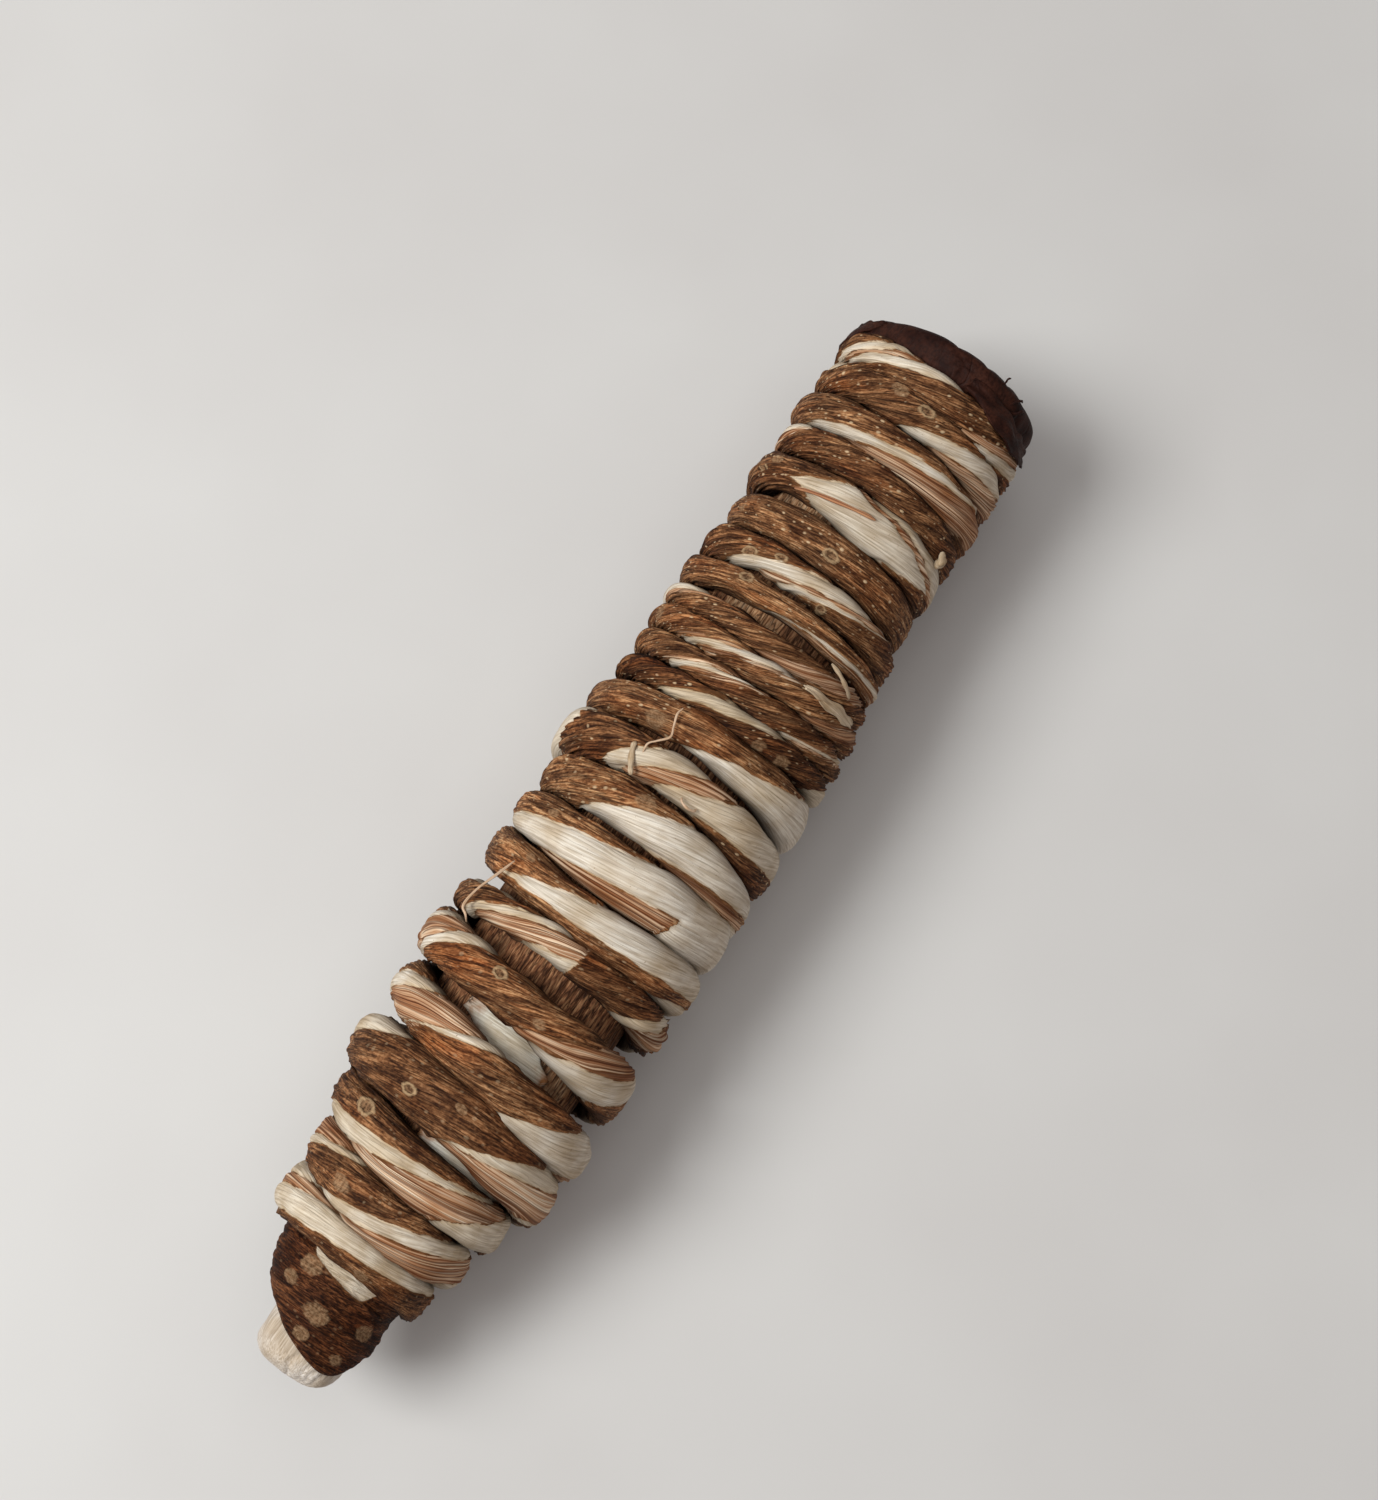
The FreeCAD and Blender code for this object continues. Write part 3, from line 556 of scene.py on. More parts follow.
# The winding's start and stop, and the turns that sway between the three places above: the turn, then its
# place, width and radius there.
crests = [(0.22, -121.5, 7.0, 17.5), (3.25, -85.4, 13.6, 34.0), (10.25, 8.8, 12.4, 34.0),
          (19.835, 98.4, 9.0, 29.2), (24.5, 143.5, 8.0, 26.5)]
for number, row in enumerate(TURNS, 1):
    at_left, width_left, radius_left, at_top, width_top, at_right, width_right, radius_right = row[:8]
    crests += [(number - 0.5, at_right, width_right, radius_right),
               (number - 0.25, at_top, width_top, (radius_left + radius_right) / 2),
               (number, at_left, width_left, radius_left)]
crest_turns, crest_places, crest_widths, crest_radii = np.array(sorted(crests)).T
middles = np.arange(len(TURNS)) + 0.75
twist_rates = [row[8] for row in TURNS]
tones = [row[9] for row in TURNS]
TWIST_SAMPLES = 2500
fine_turns = np.linspace(0, len(TURNS) + 1, TWIST_SAMPLES)
twist_so_far = np.cumsum(smooth_through(middles, twist_rates, fine_turns)) * (fine_turns[1] * 2 * math.pi)

# The stripes of each turn. A stripe is white pith, the torn inner layer, or skin left over them, and each of
# its two edges crosses the face of the strip on a slant. The four numbers say how far down from the +Y side,
# in half turns, the first edge leaves the strip's narrow-end side and reaches its wide-end side, and then
# the same for the second edge.
STRIPES = {
    1: (("white", -0.8, 0.0, -0.4, 0.25), ("torn", -0.4, 0.25, -0.25, 0.4), ("white", -0.25, 0.4, 0.0, 1.2)),
    2: (("torn", -0.6, 0.05, -0.15, 0.35), ("white", -0.2, 0.3, -0.1, 0.38),
        ("white", 0.22, 0.8, 0.35, 1.05), ("torn", 0.35, 1.05, 0.85, 1.4), ("white", 0.85, 1.4, 1.0, 1.6)),
    3: (("white", -0.1, 0.8, 0.25, 0.82), ("torn", 0.25, 0.82, 0.62, 0.95), ("white", 0.62, 0.95, 1.0, 1.6)),
    4: (("white", -0.7, 0.0, -0.2, 0.3), ("white", 0.5, 0.86, 0.5, 1.1), ("torn", 0.5, 1.1, 0.88, 1.5),
        ("white", 0.88, 1.5, 0.95, 1.6)),
    5: (("white", -0.15, 0.2, 0.0, 0.3), ("torn", 0.0, 0.3, 0.25, 0.52), ("white", 0.22, 0.48, 0.22, 0.56),
        ("white", 0.57, 0.9, 0.9, 1.4), ("torn", 0.9, 1.4, 1.0, 1.5)),
    6: (("white", -0.15, 0.1, -0.05, 0.17), ("torn", -0.05, 0.17, 0.08, 0.28),
        ("white", 0.08, 0.28, 0.12, 0.37), ("torn", 0.5, 0.78, 0.57, 1.02),
        ("white", 0.57, 1.02, 0.83, 1.15)),
    7: (("white", 0.13, 0.42, 0.2, 0.53), ("torn", 0.2, 0.53, 0.54, 0.57), ("white", 0.4, 0.78, 0.55, 0.57),
        ("white", 0.73, 0.92, 0.81, 0.97), ("torn", 0.81, 0.97, 1.0, 1.15)),
    8: (("white", 0.17, 0.55, -0.15, 2.4), ("white", 0.75, 1.6, 1.1, 2.0)),
    9: (("white", -0.12, 0.6, 0.26, 1.31), ("torn", 0.26, 1.31, 0.69, 0.75),
        ("white", 0.69, 0.75, 1.3, 1.7)),
    10: (("white", -0.35, 0.0, -0.2, 0.12), ("white", 0.31, 0.63, 0.55, 1.3),
         ("torn", 0.57, 1.4, 0.75, 1.6), ("white", 0.75, 1.6, 1.1, 2.0)),
    11: (("white", -0.6, -0.1, 0.08, 0.17), ("white", 0.3, 0.45, 0.37, 0.6), ("torn", 0.37, 0.6, 0.46, 0.7),
         ("white", 0.46, 0.7, 0.57, 1.35)),
    12: (("white", -0.7, 0.02, -0.5, 0.25), ("white", 0.45, 0.93, 1.1, 1.5)),
    13: (("white", -0.3, 0.02, -0.1, 0.17), ("white", 0.3, 0.53, 0.37, 0.74),
         ("white", 0.87, 1.05, 1.1, 1.4)),
    14: (("torn", 0.24, 0.48, 0.35, 0.64), ("white", 0.27, 0.51, 0.31, 0.58),
         ("torn", 0.64, 0.98, 0.72, 1.1), ("white", 0.66, 1.0, 0.69, 1.05)),
    15: (("torn", 0.24, 0.5, 0.36, 0.68), ("white", 0.27, 0.53, 0.33, 0.63),
         ("torn", 0.68, 0.95, 0.8, 1.15)),
    16: (("torn", -0.4, 0.02, 0.03, 0.36), ("white", -0.2, 0.12, -0.04, 0.27),
         ("torn", 0.48, 0.75, 0.62, 1.0)),
    17: (("white", 0.42, 1.2, 0.48, 1.6), ("torn", 0.48, 1.6, 0.62, 2.2)),
    18: (("white", 0.22, 0.58, 0.5, 0.88), ("torn", 0.35, 0.78, 0.42, 0.86)),
    20: (("white", 0.144, 0.495, 0.66, 1.3), ("skin", -0.2, 0.2, 0.38, 0.1), ("torn", 1.2, 0.43, 1.5, 0.52),
         ("white", 1.5, 0.52, 1.85, 0.76)),
    21: (("torn", -0.4, 0.0, 0.02, 0.27), ("white", -0.2, 0.1, -0.12, 0.2)),
    22: (("white", 0.15, 0.85, 0.35, 0.95), ("torn", 0.35, 0.95, 0.85, 1.4)),
    23: (("white", -0.5, 0.0, -0.35, 0.25), ("white", 0.46, 0.8, 0.58, 1.1), ("torn", 0.58, 1.1, 0.95, 1.4)),
    24: (("white", 0.05, 0.3, 0.11, 0.39), ("torn", 0.11, 0.39, 0.15, 0.45),
         ("white", 0.15, 0.45, 0.22, 0.6), ("torn", 0.6, 0.95, 0.67, 1.05), ("white", 0.67, 1.05, 0.8, 1.2)),
}
# On the underside the stripes fall as they come.
stripes = []
for number, row in enumerate(TURNS, 1):
    first = chance.uniform(1.0, 1.08)
    for _ in range(2):
        length = chance.uniform(0.1, 0.2)
        slant = min(1 / row[8], 1.9 - first - length)
        kind = chance.choice(["white", "torn"])
        stripes.append((number, kind, first, first + slant, first + length, first + length + slant))
        first += length + chance.uniform(0.08, 0.15)
stripes += [(number, *stripe) for number, row in STRIPES.items() for stripe in row]

# Scars where leaves and twigs came off: the turn, how far down it in half turns, how far across its face,
# the scar's radius in millimetres, and 1 for a raised ring with a dark middle or 0 for a tan patch.
SCARS = (
    (1, 0.55, 0.15, 1.6, 0), (2, 0.34, 0.46, 2.2, 0), (3, 0.28, 0.70, 2.5, 1), (4, 0.39, 0.36, 1.8, 1),
    (4, 0.52, 0.62, 1.3, 0), (6, 0.42, 0.72, 1.7, 1), (6, 0.56, 0.42, 1.5, 0), (8, 0.30, 0.80, 1.3, 0),
    (9, 0.28, 0.70, 1.5, 0), (10, 0.48, 0.70, 2.4, 0), (12, 0.38, 0.24, 2.4, 0), (13, 0.64, 0.16, 1.5, 0),
    (13, 0.72, 0.20, 1.7, 0), (15, 0.14, 0.45, 2.5, 0), (17, 0.36, 0.70, 1.7, 1), (18, 0.32, 0.36, 2.0, 1),
    (18, 0.41, 0.66, 1.6, 1), (18, 0.58, 0.10, 1.2, 1), (19, 0.52, 0.38, 1.9, 1), (19, 0.16, 0.42, 1.4, 0),
    (20, 0.16, 0.38, 1.5, 1), (20, 0.20, 0.66, 1.7, 0), (23, 0.42, 0.74, 2.0, 0), (23, 0.52, 0.66, 2.0, 1),
    (21, 1.40, 0.50, 2.0, 1), (16, 1.35, 0.40, 1.8, 1), (12, 1.45, 0.50, 2.2, 0), (8, 1.60, 0.40, 2.2, 1),
    (5, 1.40, 0.55, 2.0, 1), (2, 1.45, 0.50, 2.0, 0),
)
# Places where the skin is gathered into deep ridges: the turn, how far down it, its reach and its depth.
GATHERS = ((1, 0.95, 0.15, 0.4), (7, 0.97, 0.12, 2.0), (6, 0.0, 0.22, 2.2), (11, 0.17, 0.2, 3.0),
           (13, 0.12, 0.2, 1.6), (18, 0.05, 0.2, 1.8), (20, 0.12, 0.16, 2.0), (21, 0.1, 0.2, 1.2),
           (4, 0.1, 0.2, 1.4), (10, 0.2, 0.2, 1.2), (3, 0.12, 0.2, 1.2), (5, 0.95, 0.15, 1.2),
           (23, 0.1, 0.2, 1.2), (24, 0.15, 0.25, 1.0))

POINTS_ROUND = 88
STATIONS_PER_TURN = 220
EDGE_ROUNDNESS = 0.86  # 1 makes an oval section, and less a squarer one
OUTER_SHARE = 0.55  # how much of a strip's thickness lies outside its widest place
END_RIM = 0.0002  # the last fraction of a turn, where a strip's end is closed
REST_GAP = 0.25
SLACK = 0.4  # what the lumps and wrinkles need under the crest's radius
LEAST_THICKNESS = 3
FIBRE_GIRTH = 5.5
FIBRE_PER_TURN = 2 * math.pi * 28
FACE_SHARE = 2.5  # the length over a strip's rounded face, in half widths
SCAR_STRETCH = 1.3  # how much longer a scar is along the strip than across it
# The last turns lie on the cap's skirt: where it comes in under them, and its radius from there on.
SKIRT_PLACES = (110, 124)
SKIRT_RADII = (0.0, 22.5)
# How the strip's surface stands up, in millimetres: soft lumps, wrinkles along it, bare pith that has
# swelled, the lip along each torn edge and the groove just inside it.
LUMP_HEIGHT = 0.2
WRINKLE_HEIGHT = 0.1
PITH_SWELL = 0.5
SWELL_REACH = 1.8
LIP_HEIGHT = 0.25
GROOVE_DEPTH = 0.45
LIP_PLACE, LIP_REACH = -0.5, 0.55
GROOVE_PLACE, GROOVE_REACH = 0.3, 0.5
BARE_FADE = 0.8  # over how many millimetres from its edge pith goes fully bare
PITH_SMOOTHNESS = 0.85  # how much of the wrinkles bare pith loses
ROPE_TWIST = 1.1  # how many twists for each turn, above which a strip wrinkles like a rope
MOST_ROPE = 1.6
STRIPE_REACH = 3.2  # how many half turns from the top of its turn a stripe can reach
SCAR_REACH = 0.2  # how many turns past a strip's end its scars still count
LOWEST = 0.0001


def crest(turns):
    """Place, half width, inner and outer radius of the winding at these turns, in millimetres."""
    place = smooth_through(crest_turns, crest_places, turns)
    half_width = smooth_through(crest_turns, crest_widths, turns) / 2
    outer = smooth_through(crest_turns, crest_radii, turns) - SLACK
    inner = np.maximum(bark_radius(place), np.interp(place, SKIRT_PLACES, SKIRT_RADII)) + REST_GAP
    return place, half_width, inner, np.maximum(outer, inner + LEAST_THICKNESS)


def squared(value):
    """A sine or cosine of the angle round a strip, brought nearer to a square section's."""
    return np.sign(value) * np.abs(value) ** EDGE_ROUNDNESS


def on_strip(turns, angle, lift):
    """Points of the winding: angle goes round the strip, from outward (0) towards the wide end."""
    place, half_width, inner, outer = crest(turns)
    sine, cosine = np.sin(angle), np.cos(angle)
    out = squared(cosine)
    thick = outer - inner
    share = np.where(out > 0, OUTER_SHARE, 1 - OUTER_SHARE)
    radius = inner + thick * (1 - OUTER_SHARE) + thick * out * share
    place = place + half_width * squared(sine) + lift * sine
    return around_stick(place, -2 * math.pi * turns, radius + lift * cosine)


def face_place(angle):
    """How far across the strip's face a point is: 0 at its narrow-end side and 1 at its wide-end side."""
    sine = np.sin(angle)
    across = (1 + squared(sine)) / 2
    return np.where(np.cos(angle) >= 0, across, np.where(sine > 0, 2 - across, -across))


def draw_waves(count, fewest, below, fastest):
    """How often each wave goes round the strip, how fast it goes along it and where it starts."""
    often = chance.integers(fewest, below, count)
    return list(zip(often, chance.uniform(-fastest, fastest, count), chance.uniform(0, 6.3, count)))


LUMP_WAVES = draw_waves(12, 1, 6, 60)
WRINKLE_WAVES = draw_waves(26, 9, 30, 60)
EDGE_WAVES = draw_waves(16, 0, 4, 130)
EDGE_WANDER = 0.16


def relief(waves, around, turns):
    """Waves laid over each other, about 1 high in all."""
    return sum(np.sin(k * around + a * turns + p) for k, a, p in waves) / math.sqrt(len(waves) / 2)


def stripe_depths(turns, angle):
    """How deep each point lies inside white pith and inside the torn layer, in millimetres."""
    shape = np.broadcast(turns, angle).shape
    depth = {"white": np.full(shape, OUTSIDE), "torn": np.full(shape, OUTSIDE)}
    face = face_place(angle)
    wander = EDGE_WANDER * relief(EDGE_WAVES, angle, turns)
    _, half_width, _, outer = crest(turns)
    half_turn = math.pi * outer
    face_length = FACE_SHARE * half_width
    for number, kind, from_left, from_right, to_left, to_right in stripes:
        rows = np.flatnonzero(np.abs(2 * (number - turns[:, 0]) - 0.5) < STRIPE_REACH)
        if not len(rows):
            continue
        down = 2 * (number - turns[rows])
        past_edge = []
        for left, right in ((from_left, from_right), (to_left, to_right)):
            steepness = np.hypot(1, (right - left) * half_turn[rows] / face_length[rows])
            past_edge.append((down - (left + (right - left) * face[rows])) / steepness)
        inside = np.minimum(past_edge[0], -past_edge[1]) * half_turn[rows] + wander[rows]
        for layer, deep in depth.items():
            deep[rows] = np.maximum(deep[rows], inside) if layer == kind else np.minimum(deep[rows], -inside)
    return depth["white"], depth["torn"]


def nearest_scar(scars, shape):
    """How far each point lies from its nearest scar, in scar radii, and whether that scar is a ring.

    Each scar is how far the points are from it one way and the other, its radius and its kind.
    """
    apart, ring = np.full(shape, 3.0), np.zeros(shape)
    for one_way, other_way, size, kind in scars:
        reach = np.hypot(one_way, other_way) / size
        ring = np.where(reach < apart, kind, ring)
        apart = np.minimum(apart, reach)
    return apart, ring


def scar_lift(apart, ring):
    """How far a scar's rim stands up and a ring's middle sinks, in millimetres."""
    return 0.3 * hump(apart, 0.8, 0.35) - 0.15 * ring * hump(apart, 0, 0.45)


def ease_under(values, limit, over=0.0015):
    """Values brought softly under a limit; only those close to it or beyond it change."""
    past = (values - (limit - over)) / over
    return np.where(past > 0, limit - over + over * np.tanh(past), values)


def lay_strip(name, start, stop, material):
    count = round((stop - start) * STATIONS_PER_TURN)
    turns = np.concatenate([[start], np.linspace(start + END_RIM, stop - END_RIM, count), [stop]])[:, None]
    around = round_angles(POINTS_ROUND)[None, :]
    angle = around - np.interp(turns, fine_turns, twist_so_far)
    angle = (angle + math.pi) % (2 * math.pi) - math.pi
    _, half_width, _, outer = crest(turns)
    white, torn = stripe_depths(turns, angle)
    bare = np.clip(white / BARE_FADE, 0, 1)
    face = face_place(angle)
    half_turn, face_length = math.pi * outer, FACE_SHARE * half_width
    along = half_turn / SCAR_STRETCH
    scars = [((2 * (number - turns) - down) * along, (face - across) * face_length, size, kind)
             for number, down, across, size, kind in SCARS
             if start - SCAR_REACH < number - down / 2 < stop + SCAR_REACH]
    apart, ring = nearest_scar(scars, face.shape)
    gather = sum(deep * hump(2 * (number - turns), down, reach) for number, down, reach, deep in GATHERS)
    # A length that is twisted fast is a rope, with deeper wrinkles.
    ropes = np.clip(smooth_through(middles, twist_rates, turns) - ROPE_TWIST, 0, MOST_ROPE)
    wrinkles = WRINKLE_HEIGHT * relief(WRINKLE_WAVES, around, turns) * (1 + gather + ropes)
    lift = LUMP_HEIGHT * relief(LUMP_WAVES, around, turns) + wrinkles * (1 - PITH_SMOOTHNESS * bare)
    lift += PITH_SWELL * (1 - np.exp(-np.maximum(white, 0) / SWELL_REACH))
    for depth in (white, torn):
        lift += (LIP_HEIGHT * hump(depth, LIP_PLACE, LIP_REACH)
                 - GROOVE_DEPTH * hump(depth, GROOVE_PLACE, GROOVE_REACH))
    lift += scar_lift(apart, ring) * (1 - bare)
    points = on_strip(turns, angle, lift)
    points[..., 2] = np.maximum(ease_under(points[..., 2], cad_high.z), LOWEST)
    points[..., 1] = ease_under(points[..., 1], cad_high.y)
    points[..., 1] = -ease_under(-points[..., 1], -cad_low.y)
    one_each = np.ones(angle.shape)
    # The side shade field is painted shade: 0 near a strip's crest, rising down its sides to 1 at its foot,
    # where two turns meet. pored is how far its pores have opened.
    fields = {
        "fibre": vectors(FIBRE_GIRTH * np.cos(around), FIBRE_GIRTH * np.sin(around), turns * FIBRE_PER_TURN),
        "white": white, "torn": torn, "scar": apart, "ring": ring,
        "painted_side_shade": np.clip((0.85 - np.cos(angle)) / 1.15, 0, 1),
        "tone": smooth_through(middles, tones, turns) * one_each,
        "pored": np.clip((turns - 4) / 7, 0.3, 1) * one_each,
    }
    return closed_mesh(name, points, material, fields)


# The layer just under the skin: pink-brown, in long straight threads.
inner_layer, given, result = new_group("inner layer", {"Fibre": "Vector"}, LAYER_OUTPUTS)
lines = lines_along(given["Fibre"], 2.2, 0.006)
shade = add_ramp(lines["Threads"], 0.4, 0.6, (140, 96, 64), (208, 170, 137), (242, 224, 200))
broad = add_ramp(lines["Strands"], 0.38, 0.58, (208, 176, 150), (255, 250, 244))
shade = wash(0.8, shade, broad)
areas = noise(stretch(given["Fibre"], (1.0, 1.0, 0.35)), 0.17, 2.0)
shade = wash(ramp_up(areas, 3.4, -1.45), shade, (202, 164, 128))
shade = paint(lines["Cracks"], 0.8, shade, (92, 52, 32))
height = minus(lines["Threads"], times(lines["Cracks"], 0.5))
give(result, {"Color": shade, "Height": height})

# Pale specks: the pores of the skin.
specks, given, result = new_group("specks", {"Fibre": "Vector", "Count": "Float"}, {"Mask": "Float"})
drawn = stretch(given["Fibre"], (1.0, 1.0, 0.6))
cells = add_node(specks, "ShaderNodeTexVoronoi", inputs={"Vector": drawn, "Scale": given["Count"]}).outputs
some = add_node(specks, "ShaderNodeSeparateColor", inputs={0: cells["Color"]}).outputs
size = calc("MULTIPLY_ADD", some[1], 1.5, 0.7)
dot = ramp_up(cells["Distance"], -6.0, size)
give(result, {"Mask": times(dot, calc("GREATER_THAN", some[0], 0.4))})

# The dry brown skin: fibres, cracks, orange and dark areas, and pores.
inputs = {"Fibre": "Vector", "Tone": "Float", "Pored": "Float"}
skin, given, result = new_group("dry skin", inputs, LAYER_OUTPUTS)
lines = lines_along(given["Fibre"], 2.7, 0.07)
crumbs = noise(stretch(given["Fibre"], (1.0, 1.0, 0.4)), 2.5, 3.0, 0.65)
texture = calc("MULTIPLY_ADD", crumbs, 0.38, times(lines["Threads"], 0.62))
dark = add_ramp(texture, 0.4, 0.6, (54, 31, 19), (115, 76, 49), (160, 114, 78))
light = add_ramp(texture, 0.4, 0.6, (110, 71, 45), (180, 129, 88), (230, 188, 144))
shade = mix(given["Tone"], dark, light)
streaks = add_ramp(lines["Strands"], 0.42, 0.56, (156, 140, 126), (255, 247, 235))
shade = wash(0.85, shade, streaks)
areas = noise(stretch(given["Fibre"], (1.0, 1.0, 0.35)), 0.14, 3.0)
shade = wash(ramp_up(areas, 3.0, -1.35), shade, (226, 180, 138))
areas = noise(stretch(given["Fibre"], (1.0, 1.0, 0.5)), 0.31, 2.0)
shade = wash(ramp_up(areas, 4.0, -1.95), shade, (172, 156, 144))
shade = paint(lines["Cracks"], 0.8, shade, (38, 21, 12))
pores = place_group(skin, specks, {"Fibre": given["Fibre"], "Count": 0.8})["Mask"]
pores = times(pores, given["Pored"])
shade = paint(pores, 0.85, shade, (214, 184, 146))
height = minus(texture, times(lines["Cracks"], 0.4))
broad = calc("MULTIPLY_ADD", lines["Strands"], 0.9, times(pores, 0.25))
give(result, {"Color": shade, "Height": calc("ADD", height, broad)})

# The edge of a torn layer: Mask is 1 inside it, splintered along the fibres, and Rim is 1 along the edge.
torn_edge, given, result = new_group("torn edge", {"Depth": "Float", "Fibre": "Vector", "Fray": "Float"},
                                     {"Mask": "Float", "Rim": "Float"})
ragged = noise(stretch(given["Fibre"], (1.0, 1.0, 0.12)), 1.3, 4.0, 0.7)
shifted = times(minus(ragged, 0.5), given["Fray"])
frayed = calc("ADD", given["Depth"], shifted)
rim = ramp_up(calc("ABSOLUTE", frayed), -1.3, 1.0)
give(result, {"Mask": ramp_up(frayed, 5.0, 0.5), "Rim": rim})

# A scar: Patch covers it all, Rim is its raised edge and Core its dark middle.
scar_marks, given, result = new_group("scar", {"Apart": "Float", "Ring": "Float", "Fibre": "Vector"},
                                      {"Patch": "Float", "Rim": "Float", "Core": "Float"})
uneven = noise(given["Fibre"], 0.9, 3.0)
apart = calc("MULTIPLY_ADD", uneven, 0.7, minus(given["Apart"], 0.35))
off_rim = calc("ABSOLUTE", minus(apart, 0.78))
rim = times(ramp_up(off_rim, -5.0, 1.4), given["Ring"])
core = times(ramp_up(apart, -7.0, 4.2), given["Ring"])
patch = ramp_up(apart, -3.6, 3.9)
give(result, {"Patch": patch, "Rim": rim, "Core": core})


def add_scars(shade, fibre):
    """The colour with the scars painted on it, and how far they stand up."""
    tree = shade.id_data
    inputs = {"Apart": read(tree, "scar"), "Ring": read(tree, "ring"), "Fibre": fibre}
    marks = place_group(tree, scar_marks, inputs)
    mottle = noise(fibre, 1.6, 3.0)
    tan = add_ramp(mottle, 0.38, 0.62, (122, 90, 62), (172, 138, 104))
    shade = paint(marks["Patch"], 0.65, shade, tan)
    dark = add_ramp(mottle, 0.42, 0.56, (58, 38, 26), (136, 100, 70))
    shade = paint(marks["Core"], 0.6, shade, dark)
    shade = paint(marks["Rim"], 0.55, shade, (190, 160, 122))
    return shade, minus(marks["Rim"], marks["Core"])


stem, tree, bsdf = new_material("twisted stem")
fibre = read(tree, "fibre", "Vector")
outside = place_group(tree, skin, {"Fibre": fibre, "Tone": read(tree, "tone"), "Pored": read(tree, "pored")})
middle = place_group(tree, inner_layer, {"Fibre": fibre})
inside = place_group(tree, pith, {"Fibre": fibre})
aged = mix(ramp_up(read(tree, "tone"), 1.8, 0.0), (238, 230, 216), (255, 255, 255))
in_torn = place_group(tree, torn_edge, {"Depth": read(tree, "torn"), "Fibre": fibre, "Fray": 3.2})
in_white = place_group(tree, torn_edge, {"Depth": read(tree, "white"), "Fibre": fibre, "Fray": 1.7})
shade, scar_height = add_scars(outside["Color"], fibre)
shade = paint(in_torn["Rim"], 0.35, shade, (134, 88, 50))
shade = mix(in_torn["Mask"], shade, middle["Color"])
shade = paint(in_white["Rim"], 0.5, shade, (146, 98, 58))
white_shade = wash(1.0, inside["Color"], aged)
white_shade = paint(in_white["Rim"], 0.45, white_shade, (206, 174, 130))
shade = mix(in_white["Mask"], shade, white_shade)
# Painted shade: the sides and foot of each turn are darkened towards the gaps between turns, where shadow
# falls.
shade = wash(times(read(tree, "painted_side_shade"), 0.95), shade, (56, 35, 23))
rough = calc("MULTIPLY_ADD", in_white["Mask"], 0.05, 0.72)
skin_height = calc("MULTIPLY_ADD", scar_height, 0.6, outside["Height"])
torn_gap = minus(middle["Height"], skin_height)
height = calc("MULTIPLY_ADD", torn_gap, in_torn["Mask"], skin_height)
white_gap = minus(inside["Height"], height)
height = calc("MULTIPLY_ADD", white_gap, in_white["Mask"], height)
finish_material(bsdf, shade, rough, gloss=0.12, bump=(height, 0.75, 0.6))
for number, (start, stop) in enumerate(zip(STRIP_ENDS, STRIP_ENDS[1:]), 1):
    strip = lay_strip(f"twisted_strip_{number:02d}", start, stop, stem)
    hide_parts(f"wrap_strip_{number:02d}")


# ---------------------------------------------------------------- the end band
# A flat width of skin goes once round the narrow neck before the winding starts, its loose end tucked under.
# It is dark brown with round tan scars, and a white lining shows along its wide-end edge.

# Its two edges: the angle in degrees, then the place of the outer edge and of the edge against the winding.
BAND_EDGES = ((-60, -129.0, -118.5), (-15, -131.0, -119.2), (10, -134.6, -119.6), (32, -137.0, -120.0),
              (57, -139.8, -121.6), (83, -142.0, -124.0), (105, -143.6, -125.2), (128, -144.4, -125.7),
              (143, -143.8, -126.2), (160, -142.0, -126.4), (180, -139.5, -124.5), (240, -132.0, -120.5),
              (300, -129.0, -118.5))
# Its scars: the angle, the place, the radius, and the kind as on the strips.
BAND_SCARS = ((52, -129.5, 1.6, 0), (64, -124.6, 2.2, 0), (87, -133.3, 2.4, 0), (84, -139.0, 1.6, 0),
              (131, -140.0, 1.4, 0), (139, -131.4, 2.0, 0), (200, -131.0, 2.2, 1), (250, -125.0, 2.0, 0))
BAND_AROUND = 300
BAND_FACE = 54
BAND_THICKNESS = 2.6
BAND_SCAR_STRETCH = 1.4
PLUG_REST = 11.3  # its radius under the band, past the end of the bark
BAND_EDGE_ROUND = 2.2  # how far in from its outer edge it is rounded off
BAND_RADIUS = 16  # its rough radius, for the length of its fibres round the neck
BAND_SCAR_SHARE = 0.5  # how much of a strip scar's relief its scars have
# How far above the neck its inner face lies, its outer face starts and its outer face is at the least.
BAND_INNER, BAND_FOOT, BAND_LEAST = 0.2, 0.3, 0.45
# It thickens from this place at its outer end, over this much, and has at least this share throughout.
THIN_FROM, THIN_OVER, THIN_SHARE = -143, 8, 0.35
LINING_WIDTH = 5.0
LINING_STEP = 0.75
LINING_STEP_OVER = 0.4
LINING_DRAWN_BACK = 9  # how far its edge goes back where it fades out
# The lining shows round this angle, this far to each side, and fades out over this much; all in degrees.
LINING_MIDDLE = 88
LINING_REACH = 24
LINING_FADE = 18
# The neck leans to the +Y side: the place, and by how much there.
NECK_LEAN = ((-139, 0.0), (-136.2, 0.4), (-133.7, 1.0), (-130, 2.1), (-126.4, 2.6), (-119.3, 2.0))
band_skin, tree, bsdf = new_material("band skin")
fibre = read(tree, "fibre", "Vector")
outside = place_group(tree, skin, {"Fibre": fibre, "Tone": 0.0, "Pored": 0.3})
inside = place_group(tree, pith, {"Fibre": fibre})
shade = wash(1.0, outside["Color"], (206, 190, 182))
shade, scar_height = add_scars(shade, fibre)
in_white = place_group(tree, torn_edge, {"Depth": read(tree, "white"), "Fibre": fibre, "Fray": 0.8})
shade = paint(in_white["Rim"], 0.5, shade, (150, 104, 66))
shade = mix(in_white["Mask"], shade, inside["Color"])
height = calc("MULTIPLY_ADD", scar_height, 0.6, outside["Height"])
finish_material(bsdf, shade, 0.72, gloss=0.12, bump=(height, 0.8, 0.6))
